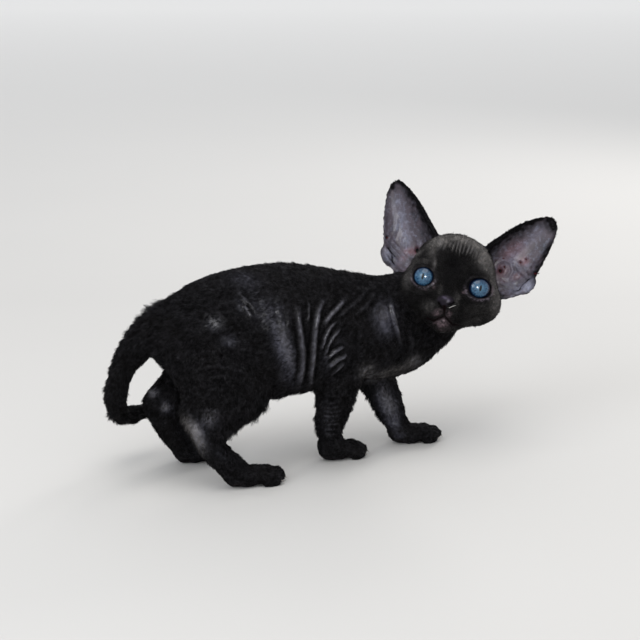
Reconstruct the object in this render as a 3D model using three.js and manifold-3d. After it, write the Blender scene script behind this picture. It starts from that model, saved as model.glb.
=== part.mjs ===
import * as THREE from "three";
import { LoftGeometry } from "three/addons/geometries/LoftGeometry.js";
import { mergeVertices } from "three/addons/utils/BufferGeometryUtils.js";
import Module from "manifold-3d";

const wasm = await Module();
wasm.setup();

// A Devon Rex kitten of about six weeks, standing and looking back over its right side.
// Driving dimensions in millimetres: +X runs from rump to chest, +Y to the kitten's left, +Z up,
// with the floor at Z = 0.
const GAP = 0.3;
const SOLE = 0.7; // how much of each round pad is flattened where it stands

// The trunk and neck, as lines along X: [x, value].
const BACK = [[-91, 84], [-84, 91.5], [-72, 100], [-59, 106.7], [-46, 109.6], [-32, 111], [-13, 110.8],
  [6, 107], [23, 102], [35, 99], [46, 98.5], [60, 100], [74, 102], [88, 98], [95, 92]];
const BELLY = [[-91, 74], [-84, 65], [-76, 56], [-62, 46], [-44, 40.5], [-20, 40], [0, 41.5], [14, 43.5],
  [28, 42.5], [40, 41.2], [50, 41.2], [60, 42.8], [68, 46.6], [75, 52.2], [83, 58.6], [90, 67], [95, 79]];
const FLANK = [[-91, 6], [-84, 14.5], [-72, 20.5], [-56, 23], [-38, 26], [-18, 28.5], [0, 27], [20, 24],
  [38, 21], [52, 18], [66, 16], [80, 15], [90, 12], [95, 6]];
const SPINE_SIDE = [[-91, 1], [-40, 0], [30, 0], [50, 1.5], [64, 3.5], [80, 6], [95, 8]];
const WIDEST = 0.46; // share of the trunk's depth at which it is widest
const ROUNDNESS = { back: 0.95, belly: 0.82 }; // 1 is an ellipse, less is fuller
const TRUNK_RINGS = 25;
const TRUNK_SIDES = 24;
const NECK_CUT = { at: [47, 0, 74], lean: 28, reach: 140 };

// Legs, as lines up Z: front and rear edge in X, middle in Y, half width in Y.
const LEGS = {
  fore_right: {
    front: [[4, 22], [13, 15.5], [20, 15.4], [29, 18.6], [36, 19.8], [44, 22.5], [56, 29], [76, 35], [88, 34]],
    rear: [[4, 5], [15, 0.8], [24, -0.8], [33, -1.1], [39, -2.4], [44, -2.5], [54, -1], [66, 4], [88, 12]],
    middle: [[4, -4.5], [20, -7.5], [40, -12], [60, -13.5], [88, -12]],
    half: [[4, 7], [18, 7.2], [34, 8.4], [50, 9.5], [70, 9.5], [88, 5]],
  },
  fore_left: {
    front: [[4, 66], [12, 60], [20, 58], [28, 56.4], [36, 54], [46, 53], [58, 53], [76, 50], [88, 46]],
    rear: [[4, 49.5], [11, 45], [15, 42], [22, 38.8], [28, 35.8], [33, 32.4], [44, 27.5], [56, 25], [88, 26]],
    middle: [[4, 5], [20, 8], [40, 11.5], [60, 12.5], [88, 11]],
    half: [[4, 7], [18, 7], [34, 8], [50, 9], [70, 9], [88, 5]],
  },
  hind_right: {
    front: [[4, -36], [13, -43.5], [17, -47.5], [21, -51.5], [26, -54.8], [31, -52], [35, -42],
      [40, -34.5], [46, -29.5], [56, -28.5], [68, -33], [88, -48]],
    rear: [[4, -56], [11, -61.7], [17, -67], [23, -70.5], [30, -73.4], [37, -76], [44, -77], [54, -77.5],
      [64, -83], [74, -83], [88, -72]],
    middle: [[4, -20.5], [26, -20.5], [46, -20], [66, -17.5], [88, -12]],
    half: [[4, 8], [24, 7.6], [34, 9.5], [46, 11.5], [66, 12.5], [88, 6]],
  },
  hind_left: {
    front: [[4, -51], [13, -58.5], [17, -61.5], [23, -65], [29, -67], [34, -63], [38, -54],
      [44, -45], [54, -38], [68, -40], [88, -48]],
    rear: [[4, -70], [12.6, -76.7], [22.5, -82.7], [30, -86.2], [37, -88], [41, -86.7], [46, -82],
      [50, -77.5], [56, -74], [66, -77], [76, -80], [88, -72]],
    middle: [[4, 19], [26, 20], [46, 19], [66, 17], [88, 12]],
    half: [[4, 8], [24, 7.6], [34, 9], [46, 10.5], [66, 12.5], [88, 6]],
  },
};
const LEG_RINGS = 15;
const LEG_SIDES = 16;

// Paws: the heel's place on the floor, the way the toes point, and the paw's length and width.
const PAWS = {
  fore_right: { at: [4, -4.5], turn: 2, long: 27, wide: 16, tall: 12 },
  fore_left: { at: [49.5, 5.5], turn: -5, long: 29, wide: 16.5, tall: 12 },
  hind_right: { at: [-54.5, -20.5], turn: -2, long: 32, wide: 17, tall: 12 },
  hind_left: { at: [-69.5, 20], turn: 2, long: 30, wide: 17, tall: 12 },
};
const PAW_CUT = 13.2; // height of the cut between each leg and its paw

// The lumps of a paw, in shares of its length, width and height.
const PAW_BODY = { forward: 0.36, up: 0.42, size: [0.4, 0.44, 0.47] };
const PAW_HEEL = { forward: 0.16, up: 0.62, size: [0.26, 0.42, 0.6] };
const TOE = { wide: 0.165, tall: 0.36 };
const TOES = [
  { forward: 0.7, side: -0.36, long: 0.2 },
  { forward: 0.79, side: -0.13, long: 0.21 },
  { forward: 0.79, side: 0.13, long: 0.21 },
  { forward: 0.7, side: 0.36, long: 0.2 },
];

// The tail hangs from the rump and curls in behind the left hock: [x, y, z, radius].
const TAIL = [[-74, 1, 88, 10], [-85, 2.5, 81, 9.8], [-92.8, 4.5, 72.5, 8.8], [-98.2, 8, 64, 7.3],
  [-101, 12.5, 53.5, 6.6], [-101.8, 18, 42, 6.3], [-98, 25.5, 30, 5.7], [-88, 32.5, 26.5, 5.1],
  [-79, 35.5, 27, 3.6]];
const TAIL_RINGS = 24;
const TAIL_SIDES = 12;
const TAIL_PARTING = 0.5;

// The head's own frame: +X out through the nose, +Y to its left, +Z up, origin level with the eyes.
const HEAD = { at: [75, -12, 94.2], turn: -115.5, nod: 15.5, tilt: -10.5 };
const SKULL = { at: [-6, 0, 3.6], size: [24, 22.6, 22.2] };
const BROW = { at: [2.5, 0, 8], size: [17.6, 19, 16] };
const CHEEK = { at: [1, 11.4, -7.5], size: [17.5, 17.2, 13.5] };
const JAW = { at: [9.5, 0, -17.2], size: [12, 12.4, 9] };
const MUZZLE = { at: [16.5, 0, -11.5], size: [9, 9.6, 7.6] };
const LIP_PAD = { at: [19.6, 4.3, -14.2], size: [6, 5.6, 5] };
const CHIN = { at: [17.8, 0, -22], size: [5.2, 5.4, 4.8] };
const BRIDGE = { at: [15.5, 0, -3], size: [8.2, 5.4, 8] };
const NOSE = { at: [23.6, 0, -9.9], size: [3.8, 4, 3] };
const BLEND = 7;
const HEAD_RINGS = 30;
const HEAD_SIDES = 36;
const FACE_POLE = [26, 0, -12];
const FACE_CROWDING = 1.3; // above 1, rings of the head's mesh gather round the muzzle

const EYE = { at: [10.9, 13.7, 0], radius: 7.4, cornea: 0.7, outward: 12, upward: 2 };
const EYE_OPENING = { wide: { right: 5.3, left: 6.4 }, high: 4.9, from: 2, to: 14 };
const LID = 1.2; // thickness of the lids over the eyeball
const LIDS = { at: EYE.at, size: [EYE.radius + LID, EYE.radius + LID, EYE.radius + LID] };
const MOUTH = [[-10.5, -20.2], [-5.2, -21.2], [-2.2, -19], [0, -17.9], [2.2, -19], [5.2, -21.2],
  [10.5, -20.2]]; // [y, z] on the front of the face
const MOUTH_GAPE = 0.75;
const PHILTRUM = [[0, -12.4], [0, -15], [0, -17.4]];
const NOSTRIL = { at: [2.3, -10.7], size: [1.7, 1.25, 0.8], lean: 24 };

// An ear stands on the skull, a cup open to the front. Lines up its height: [height, value].
const EAR = {
  half: [[-9, 12.5], [-2, 15.5], [5, 17], [15, 14.7], [25, 12], [33.5, 8.6], [38, 6], [40.6, 4], [42, 1.8]],
  shift: [[-9, 0.5], [5, 2.4], [15, 1.4], [25, 0.5], [42, 0]],
  depth: [[-9, 11], [5, 11], [15, 9.6], [25, 7], [35, 3.6], [42, 1]],
  wall: [[-9, 2.6], [5, 2.2], [20, 1.5], [42, 0.9]],
  pocket: { at: [-1.4, 17.4, 7], size: [2.8, 3, 6] },
  curve: 2.2, // above 1, the bend gathers towards the tip
};
const SIDES = [["right", -1], ["left", 1]];
const EAR_RINGS = 12;
const EAR_SIDES = 8;
// Each ear's place and stance, and how far its tip bends in over the head.
const EARS = {
  right: { at: [-3.5, -20.5, 12], lean: 36, turn: 16, back: 14, bend: 4.5 },
  left: { at: [-3.5, 22.8, 11], lean: 36, turn: 6, back: 8, bend: -0.6 },
};

// Colours of the coat and bare skin, read from the photo.
const COAT = material(0x17151a, 0.75);
const FACE = material(0x1d1b1f, 0.7);
const EAR_SKIN = material(0x5f4f5c, 0.55);
const IRIS = material(0x6f93ad, 0.12);

function material(color, roughness) {
  return new THREE.MeshStandardMaterial({ color, roughness, metalness: 0 });
}

const UP = new THREE.Vector3(0, 0, 1);

const degrees = (angle) => THREE.MathUtils.degToRad(angle);

// A smooth function through a line of [position, value] pairs.
function line(points) {
  const slopes = points.map((p, i) => {
    const before = points[Math.max(i - 1, 0)];
    const after = points[Math.min(i + 1, points.length - 1)];
    return (after[1] - before[1]) / (after[0] - before[0]);
  });
  return (x) => {
    const last = points.length - 2;
    const found = points.findIndex((p, i) => i <= last && x <= points[i + 1][0]);
    const i = found < 0 ? last : found;
    const [x0, v0] = points[i];
    const [x1, v1] = points[i + 1];
    const span = x1 - x0;
    const t = THREE.MathUtils.clamp((x - x0) / span, 0, 1);
    const t2 = t * t;
    const t3 = t2 * t;
    return (2 * t3 - 3 * t2 + 1) * v0 + (t3 - 2 * t2 + t) * span * slopes[i]
      + (3 * t2 - 2 * t3) * v1 + (t3 - t2) * span * slopes[i + 1];
  };
}

// Steps from 0 to 1 that gather at both ends, for rounded ends.
const eased = (i, count) => 0.5 - 0.5 * Math.cos((Math.PI * i) / count);

// A closed geometry as a solid for joining and cutting, moved by a matrix if one is given.
function solid(geometry, matrix) {
  const bare = new THREE.BufferGeometry().copy(geometry);
  bare.deleteAttribute("normal");
  bare.deleteAttribute("uv");
  if (matrix) bare.applyMatrix4(matrix);
  const merged = mergeVertices(bare, 1e-4);
  const index = merged.index.array;
  const kept = [];
  for (let i = 0; i < index.length; i += 3) {
    const [a, b, c] = index.subarray(i, i + 3);
    if (a !== b && b !== c && a !== c) kept.push(a, b, c);
  }
  const made = new wasm.Manifold(new wasm.Mesh({
    numProp: 3,
    vertProperties: merged.attributes.position.array,
    triVerts: new Uint32Array(kept),
  }));
  return made;
}

const largest = (body) => body.decompose().sort((a, b) => b.volume() - a.volume())[0];
const parted = (body, cut) => {
  const found = body.subtract(cut).decompose();
  return found.sort((a, b) => b.volume() - a.volume()).slice(0, 2);
};
const joined = (bodies) => bodies.reduce((whole, body) => whole.add(body));

// A named mesh from the largest closed surface of a solid.
function piece(name, body, finish) {
  const found = largest(body).getMesh();
  const geometry = new THREE.BufferGeometry();
  geometry.setAttribute("position", new THREE.BufferAttribute(found.vertProperties, 3));
  geometry.setIndex(new THREE.BufferAttribute(found.triVerts, 1));
  geometry.computeVertexNormals();
  const mesh = new THREE.Mesh(geometry, finish);
  mesh.name = name;
  return mesh;
}

const centreOf = (ring) => {
  const sum = ring.reduce((total, point) => total.add(point), new THREE.Vector3());
  return sum.divideScalar(ring.length);
};

// A closed loft through rings of points, each turned so that the walls face out.
function loft(rings) {
  const start = centreOf(rings[0]);
  const way = centreOf(rings[1]).sub(start);
  const round = new THREE.Vector3();
  rings[0].forEach((point, i) => {
    const next = rings[0][(i + 1) % rings[0].length];
    round.add(point.clone().sub(start).cross(next.clone().sub(start)));
  });
  if (round.dot(way) < 0) rings.forEach((ring) => ring.reverse());
  return new LoftGeometry(rings, { closed: true, capStart: true, capEnd: true });
}

function ellipsoid({ at, size }, across = 16, up = 10) {
  const ball = new THREE.SphereGeometry(1, across, up);
  ball.rotateX(Math.PI / 2);
  ball.scale(...size);
  ball.translate(...at);
  return ball;
}

// The trunk and neck in one length, from the root of the tail to inside the head.
function trunk(grow = 0) {
  const back = line(BACK);
  const belly = line(BELLY);
  const flank = line(FLANK);
  const side = line(SPINE_SIDE);
  const rear = BACK[0][0];
  const front = BACK.at(-1)[0];
  const sections = [];
  for (let i = 0; i <= TRUNK_RINGS; i++) {
    const along = 0.5 * eased(i, TRUNK_RINGS) + (0.5 * i) / TRUNK_RINGS;
    const x = rear + (front - rear) * along + (along - 0.5) * 2 * grow;
    const top = back(x) + grow;
    const bottom = belly(x) - grow;
    const half = flank(x) + grow;
    const middle = bottom + WIDEST * (top - bottom);
    const ring = [];
    for (let j = 0; j < TRUNK_SIDES; j++) {
      const angle = (2 * Math.PI * j) / TRUNK_SIDES;
      const rise = Math.sin(angle);
      const fullness = rise < 0 ? ROUNDNESS.belly : ROUNDNESS.back;
      const width = Math.sign(Math.cos(angle)) * Math.abs(Math.cos(angle)) ** fullness;
      const height = rise > 0 ? (top - middle) * rise : (middle - bottom) * rise;
      ring.push(new THREE.Vector3(x, side(x) + half * width, middle + height));
    }
    sections.push(ring);
  }
  return solid(loft(sections));
}

// One leg, as level rings from inside the trunk down into the paw.
function leg({ front, rear, middle, half }, grow = 0) {
  const [frontAt, rearAt, middleAt, halfAt] = [front, rear, middle, half].map(line);
  const low = front[0][0];
  const high = front.at(-1)[0];
  const sections = [];
  for (let i = 0; i <= LEG_RINGS; i++) {
    const z = low + ((high - low) * i) / LEG_RINGS;
    const reach = (frontAt(z) - rearAt(z)) / 2 + grow;
    const ring = [];
    for (let j = 0; j < LEG_SIDES; j++) {
      const angle = (2 * Math.PI * j) / LEG_SIDES;
      const x = (frontAt(z) + rearAt(z)) / 2 + reach * Math.cos(angle);
      const y = middleAt(z) + (halfAt(z) + grow) * Math.sin(angle);
      ring.push(new THREE.Vector3(x, y, z));
    }
    sections.push(ring);
  }
  return solid(loft(sections));
}

// A paw, made with its heel at the origin and toes along +X, cut flat below and then put in place.
function paw({ at, turn, long, wide, tall }) {
  const [body, heel] = [PAW_BODY, PAW_HEEL].map(({ forward, up, size }) => ({
    at: [long * forward, 0, tall * up],
    size: [long * size[0], wide * size[1], tall * size[2]],
  }));
  const toeTall = tall * TOE.tall;
  const toes = TOES.map(({ forward, side, long: reach }) => ({
    at: [long * forward, wide * side, toeTall - SOLE],
    size: [long * reach, wide * TOE.wide, toeTall],
  }));
  const lumps = [body, heel, ...toes].map((lump) => solid(ellipsoid(lump, 10, 6)));
  const floor = new THREE.BoxGeometry(4 * long, 4 * wide, tall);
  floor.translate(0, 0, -tall / 2);
  const place = new THREE.Matrix4().makeRotationZ(degrees(turn)).setPosition(...at, 0);
  return joined(lumps).subtract(solid(floor)).transform(place.elements);
}

// The whole tail, as round rings square to its curve.
function tail(grow = 0) {
  const curve = new THREE.CatmullRomCurve3(TAIL.map(([x, y, z]) => new THREE.Vector3(x, y, z)));
  const radius = line(TAIL.map((point, i) => [i / (TAIL.length - 1), point[3]]));
  const sections = [];
  for (let i = 0; i <= TAIL_RINGS; i++) {
    const t = i / TAIL_RINGS;
    const tangent = curve.getTangent(t);
    const across = new THREE.Vector3(0, 1, 0).cross(tangent).normalize();
    const other = tangent.clone().cross(across);
    const centre = curve.getPoint(t);
    const ring = [];
    for (let j = 0; j < TAIL_SIDES; j++) {
      const angle = (2 * Math.PI * j) / TAIL_SIDES;
      const point = centre.clone().addScaledVector(across, (radius(t) + grow) * Math.cos(angle));
      ring.push(point.addScaledVector(other, (radius(t) + grow) * Math.sin(angle)));
    }
    sections.push(ring);
  }
  const tip = new THREE.SphereGeometry(radius(1) + grow, TAIL_SIDES, TAIL_SIDES / 2);
  tip.translate(...curve.getPoint(1).toArray());
  return { body: solid(loft(sections)).add(solid(tip)), curve };
}

// A thin slab at a point, square to a direction, to part a body in two.
function slab(at, direction, reach) {
  const sheet = new THREE.BoxGeometry(reach, reach, GAP);
  const turn = new THREE.Quaternion().setFromUnitVectors(UP, direction);
  return solid(sheet, new THREE.Matrix4().makeRotationFromQuaternion(turn).setPosition(...at));
}

// Distance to an ellipsoid's surface, near enough for blending: negative inside.
function outside(point, { at, size }, flip = 1) {
  const x = point.x - at[0];
  const y = flip * point.y - at[1];
  const z = point.z - at[2];
  const near = Math.hypot(x / size[0], y / size[1], z / size[2]);
  const steep = Math.hypot(x / size[0] ** 2, y / size[1] ** 2, z / size[2] ** 2);
  return (near * (near - 1)) / Math.max(steep, 1e-6);
}

function blended(a, b, reach) {
  const near = Math.max(reach - Math.abs(a - b), 0) / reach;
  return Math.min(a, b) - (near * near * reach) / 4;
}

function faceDistance(point) {
  let found = blended(outside(point, SKULL), outside(point, BROW), BLEND);
  for (const flip of [1, -1]) found = blended(found, outside(point, CHEEK, flip), BLEND);
  found = blended(found, outside(point, JAW), BLEND * 0.7);
  found = blended(found, outside(point, BRIDGE), BLEND * 0.7);
  found = blended(found, outside(point, MUZZLE), BLEND * 1.2);
  for (const flip of [1, -1]) found = blended(found, outside(point, LIP_PAD, flip), BLEND * 0.3);
  found = blended(found, outside(point, CHIN), BLEND * 0.5);
  found = blended(found, outside(point, NOSE), BLEND * 0.2);
  for (const flip of [1, -1]) found = blended(found, outside(point, LIDS, flip), BLEND * 0.4);
  return found;
}

// How far the head's surface lies from a start inside it, in a direction.
function reachTo(start, direction, far = 50) {
  const point = new THREE.Vector3();
  let outer = far;
  let inner = 0;
  for (let step = far; step > 0; step -= 0.5) {
    point.copy(start).addScaledVector(direction, step);
    if (faceDistance(point) < 0) {
      inner = step;
      break;
    }
    outer = step;
  }
  for (let i = 0; i < 16; i++) {
    const middle = (inner + outer) / 2;
    point.copy(start).addScaledVector(direction, middle);
    if (faceDistance(point) < 0) inner = middle;
    else outer = middle;
  }
  return inner;
}

const FORWARD = new THREE.Vector3(1, 0, 0);

function onFace(y, z) {
  const start = new THREE.Vector3(0, y, z);
  return start.addScaledVector(FORWARD, reachTo(start, FORWARD));
}

// The head before any cut: a ball whose pole looks out of the muzzle, drawn out to the face.
function headForm(grow = 0) {
  const ball = new THREE.SphereGeometry(1, HEAD_SIDES, HEAD_RINGS);
  const positions = ball.attributes.position;
  const pole = new THREE.Vector3(...FACE_POLE).normalize();
  const turn = new THREE.Quaternion().setFromUnitVectors(new THREE.Vector3(0, 1, 0), pole);
  const centre = new THREE.Vector3(0, 0, -1);
  for (let i = 0; i < positions.count; i++) {
    const point = new THREE.Vector3().fromBufferAttribute(positions, i);
    const away = Math.acos(THREE.MathUtils.clamp(point.y, -1, 1));
    const angle = Math.PI * (away / Math.PI) ** FACE_CROWDING;
    const round = Math.atan2(point.z, point.x);
    point.set(Math.sin(angle) * Math.cos(round), Math.cos(angle), Math.sin(angle) * Math.sin(round));
    point.applyQuaternion(turn);
    const reach = reachTo(centre, point) + grow;
    point.multiplyScalar(reach).add(centre);
    positions.setXYZ(i, point.x, point.y, point.z);
  }
  return solid(ball);
}

// A bar along a curve on the face, to cut a groove. A tapered one leaves the face at both ends.
function groove(points, half, tapered) {
  const along = points.map(([y, z]) => onFace(y, z));
  if (tapered) [along[0], along.at(-1)].forEach((end) => (end.x += 2 * half));
  const curve = new THREE.CatmullRomCurve3(along);
  const outline = new THREE.Shape();
  outline.absellipse(0, 0, half, half, 0, 2 * Math.PI);
  const options = { steps: 2 * (points.length - 1), extrudePath: curve, curveSegments: 3 };
  return solid(new THREE.ExtrudeGeometry(outline, options));
}

function eyeMatrix(side) {
  const { at, outward, upward } = EYE;
  const look = new THREE.Euler(0, degrees(-upward), degrees(side * outward), "ZYX");
  const matrix = new THREE.Matrix4().makeRotationFromEuler(look);
  return matrix.setPosition(at[0], side * at[1], at[2]);
}

// An eyeball in its own frame: it looks along +X, with the clear dome standing a little proud.
function eyeball(grow = 0) {
  const profile = [];
  const steps = 12;
  for (let i = 0; i <= steps; i++) {
    const angle = (Math.PI * i) / steps;
    const dome = EYE.cornea * Math.max(Math.cos(angle), 0) ** 6;
    const radius = EYE.radius + grow + dome;
    profile.push(new THREE.Vector2(radius * Math.sin(angle), -radius * Math.cos(angle)));
  }
  profile[0].x = 0;
  profile[steps].x = 0;
  const ball = new THREE.LatheGeometry(profile, 18);
  ball.rotateZ(Math.PI / 2);
  return ball;
}

// The opening between the lids, as a short oval plug that looks out along +X.
function lidOpening(name) {
  const { wide, high, from, to } = EYE_OPENING;
  const plug = new THREE.CylinderGeometry(1, 1, to - from, 20);
  plug.rotateZ(Math.PI / 2);
  plug.scale(1, wide[name], high);
  plug.translate((from + to) / 2, 0, 0);
  return plug;
}

function head() {
  let made = headForm();
  for (const [name, side] of SIDES) {
    const look = eyeMatrix(side);
    made = made.subtract(solid(lidOpening(name), look));
    made = made.subtract(solid(eyeball(GAP), look));
    const { at, size, lean } = NOSTRIL;
    const pit = ellipsoid({ at: [0, 0, 0], size }, 10, 8);
    pit.rotateX(degrees(side * lean));
    pit.translate(...onFace(side * at[0], at[1]).toArray());
    made = made.subtract(solid(pit));
  }
  made = made.subtract(groove(MOUTH, MOUTH_GAPE, true));
  return made.subtract(groove(PHILTRUM, MOUTH_GAPE * 0.5, false));
}

// An ear in its own frame: up +Z from the skull, open to +X, outer edge to +Y. The same outline,
// grown by the gap and filled in, cuts the neck clear of it.
function ear(name, filled) {
  const { bend } = EARS[name];
  const half = line(EAR.half);
  const straight = line(EAR.shift);
  const tip = EAR.half.at(-1)[0];
  const shift = (z) => straight(z) - bend * Math.max(z / tip, 0) ** EAR.curve;
  const depth = line(EAR.depth);
  const wall = line(EAR.wall);
  const low = EAR.half[0][0];
  const high = EAR.half.at(-1)[0];
  const sections = [];
  for (let i = 0; i <= EAR_RINGS; i++) {
    const z = low + (high - low) * Math.sin((Math.PI / 2) * (i / EAR_RINGS));
    const rim = (share, thin) => {
      const angle = share * (Math.PI / 2);
      const y = shift(z) + (half(z) - thin) * Math.sin(angle);
      const bevel = thin * 0.3;
      return new THREE.Vector3(-(depth(z) - thin) * Math.cos(angle) - bevel, y, z);
    };
    const ring = [];
    const outer = filled ? -GAP : 0;
    for (let j = 0; j <= EAR_SIDES; j++) ring.push(rim((2 * j) / EAR_SIDES - 1, outer));
    if (filled) ring.push(new THREE.Vector3(GAP * 2, shift(z), z));
    else for (let j = EAR_SIDES; j >= 0; j--) ring.push(rim((2 * j) / EAR_SIDES - 1, wall(z)));
    sections.push(ring);
  }
  return solid(loft(sections)).add(solid(ellipsoid(EAR.pocket, 12, 8)));
}

function earMatrix(name, side) {
  const { at, lean, turn, back } = EARS[name];
  const mirror = new THREE.Matrix4().makeScale(1, side, 1);
  const stand = new THREE.Euler(degrees(-side * lean), degrees(-back), degrees(side * turn), "XYZ");
  return new THREE.Matrix4().makeRotationFromEuler(stand).setPosition(...at).multiply(mirror);
}

const root = new THREE.Group();
const cat = new THREE.Group();
root.add(cat);

// Each leg and its paw are made whole and parted by a thin level cut above the toes.
const names = Object.keys(LEGS);

const headPlace = new THREE.Group();
const { at: headAt, turn, nod, tilt } = HEAD;
headPlace.position.set(...headAt);
headPlace.rotation.set(degrees(tilt), degrees(-nod), degrees(turn), "ZYX");
headPlace.updateMatrix();

let body = trunk();
for (const name of names) body = body.subtract(leg(LEGS[name], GAP));
body = body.subtract(headForm(GAP).transform(headPlace.matrix.elements));
for (const [name, side] of SIDES) {
  const place = headPlace.matrix.clone().multiply(earMatrix(name, side));
  body = body.subtract(ear(name, true).transform(place.elements));
}
const neckWay = new THREE.Vector3(Math.cos(degrees(NECK_CUT.lean)), 0, Math.sin(degrees(NECK_CUT.lean)));
const halves = parted(body, slab(NECK_CUT.at, neckWay, NECK_CUT.reach));
cat.add(piece("torso", halves[0], COAT));
cat.add(piece("neck", halves[1], COAT));

for (const name of names) {
  const whole = leg(LEGS[name]).add(paw(PAWS[name]));
  const [upper, lower] = parted(whole, slab([PAWS[name].at[0], 0, PAW_CUT], UP, 200));
  cat.add(piece("leg_" + name, upper, COAT));
  cat.add(piece("paw_" + name, lower, COAT));
}

const { body: tailBody, curve: tailCurve } = tail();
const parting = slab(tailCurve.getPoint(TAIL_PARTING).toArray(), tailCurve.getTangent(TAIL_PARTING), 24);
const lengths = parted(tailBody.subtract(trunk(GAP)), parting);
cat.add(piece("tail_upper", lengths[0], COAT));
cat.add(piece("tail_lower", lengths[1], COAT));

headPlace.add(piece("head", head(), FACE));
for (const [name, side] of SIDES) {
  const eye = piece("eye_" + name, solid(eyeball()), IRIS);
  eye.applyMatrix4(eyeMatrix(side));
  headPlace.add(eye);
  const cup = ear(name, false).transform(earMatrix(name, side).elements);
  headPlace.add(piece("ear_" + name, cup.subtract(headForm(GAP)), EAR_SKIN));
}
cat.add(headPlace);

// The part's frame has its origin on the floor, under the middle of the kitten's box.
cat.updateMatrixWorld(true);
const box = new THREE.Box3().setFromObject(cat, true);
const middle = box.getCenter(new THREE.Vector3());
cat.position.set(-middle.x, -middle.y, 0);

export default root;
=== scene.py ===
import math

import bmesh
import bpy
import numpy as np
from mathutils import Matrix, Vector
from mathutils.kdtree import KDTree


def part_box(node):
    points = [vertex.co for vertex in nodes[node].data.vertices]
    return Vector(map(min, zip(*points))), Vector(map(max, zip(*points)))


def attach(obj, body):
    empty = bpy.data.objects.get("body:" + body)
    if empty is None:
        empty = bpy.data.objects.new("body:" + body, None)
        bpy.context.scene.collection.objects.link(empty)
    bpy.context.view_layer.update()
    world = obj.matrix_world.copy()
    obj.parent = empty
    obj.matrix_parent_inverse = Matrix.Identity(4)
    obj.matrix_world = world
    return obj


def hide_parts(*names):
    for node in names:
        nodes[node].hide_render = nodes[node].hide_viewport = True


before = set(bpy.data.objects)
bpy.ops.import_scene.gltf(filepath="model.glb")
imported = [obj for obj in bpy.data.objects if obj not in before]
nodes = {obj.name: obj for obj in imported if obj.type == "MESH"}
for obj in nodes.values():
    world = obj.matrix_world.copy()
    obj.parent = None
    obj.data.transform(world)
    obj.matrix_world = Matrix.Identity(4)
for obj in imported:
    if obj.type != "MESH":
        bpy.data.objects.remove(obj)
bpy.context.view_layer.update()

# The skin. In life it is one loose hide over the whole kitten, nearly bare at this age, and here it is one
# closed surface grown from the body's solids. Each solid is swelled across the gap to its neighbours, the
# whole is fused, smoothed and drawn back in by the depth of the coat.
MM = 0.001
SWELL = 0.3
FLOOR_GAP = 0.05  # how far the soles stand off the floor
GRAIN, QUICK_GRAIN = 0.74, 1.0  # size of the skin's squares, in millimetres
MIDDLE = np.array((-12.6604, 0.0885, 0.0))  # where the frame's origin puts the solids' own zero
HEAD_AT = np.array((75.0, -12.0, 94.2)) + MIDDLE
TURN, NOD, TILT = -115.5, 15.5, -10.5
HEAD_TURN = np.array(
    Matrix.Rotation(math.radians(TURN), 3, "Z")
    @ Matrix.Rotation(math.radians(-NOD), 3, "Y")
    @ Matrix.Rotation(math.radians(TILT), 3, "X")
)
EYE_AT, EYE_RADIUS, EYE_OUT, EYE_UP = (10.9, 13.7, 0.0), 7.4, 12.0, 2.0
EYE_WIDE, EYE_HIGH = {-1: 5.4, 1: 6.5}, {-1: 4.35, 1: 4.9}  # half the opening between the lids
REGIONS = {
    "trunk": ("torso", "neck"),
    "head": ("head",),
    "ear_right": ("ear_right",),
    "ear_left": ("ear_left",),
    "tail": ("tail_upper", "tail_lower"),
    "fore_right": ("leg_fore_right",),
    "fore_left": ("leg_fore_left",),
    "hind_right": ("leg_hind_right",),
    "hind_left": ("leg_hind_left",),
    "paws": ("paw_fore_right", "paw_fore_left", "paw_hind_right", "paw_hind_left"),
}
FLESH = [node for group in REGIONS.values() for node in group]
COAT_DEPTH = {"trunk": 0.9, "head": 0.45, "ear_right": 0.15, "ear_left": 0.15, "tail": 1.0, "paws": 0.45}
LEG_COAT_DEPTH = 0.8


def from_head(points):
    return np.asarray(points) @ HEAD_TURN.T + HEAD_AT


def to_head(points):
    return (points - HEAD_AT) @ HEAD_TURN


def eye_turn(side):
    outward = Matrix.Rotation(math.radians(side * EYE_OUT), 3, "Z")
    return np.array(outward @ Matrix.Rotation(math.radians(-EYE_UP), 3, "Y"))


def from_eye(points, side):
    in_head = np.asarray(points) @ eye_turn(side).T + np.array((EYE_AT[0], side * EYE_AT[1], EYE_AT[2]))
    return from_head(in_head)


def to_eye(points, side):
    return (to_head(points) - np.array((EYE_AT[0], side * EYE_AT[1], EYE_AT[2]))) @ eye_turn(side)


def lengths_of(vectors):
    return np.linalg.norm(vectors, axis=-1)


def at_length_one(vectors):
    return vectors / np.maximum(lengths_of(vectors), 1e-6)[..., None]


def dots(some, others):
    """The dot product of each pair of vectors."""
    return np.einsum("ij,ij->i", some, others)


def places(mesh):
    found = np.empty(len(mesh.vertices) * 3, np.float32)
    mesh.vertices.foreach_get("co", found)
    return found.reshape(-1, 3).astype(float) / MM


def put_places(mesh, found):
    mesh.vertices.foreach_set("co", (found * MM).astype(np.float32).ravel())
    mesh.update()


def ways_out(mesh):
    found = np.empty(len(mesh.vertices) * 3, np.float32)
    mesh.vertex_normals.foreach_get("vector", found)
    return found.reshape(-1, 3).astype(float)


def tube_faces(first, rings, around):
    """The faces of a tube, whose rings of points follow one another from a first point."""
    faces = []
    for i in range(rings - 1):
        for j in range(around):
            a, b = first + i * around + j, first + i * around + (j + 1) % around
            faces.append((a, b, b + around, a + around))
    return faces


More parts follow.
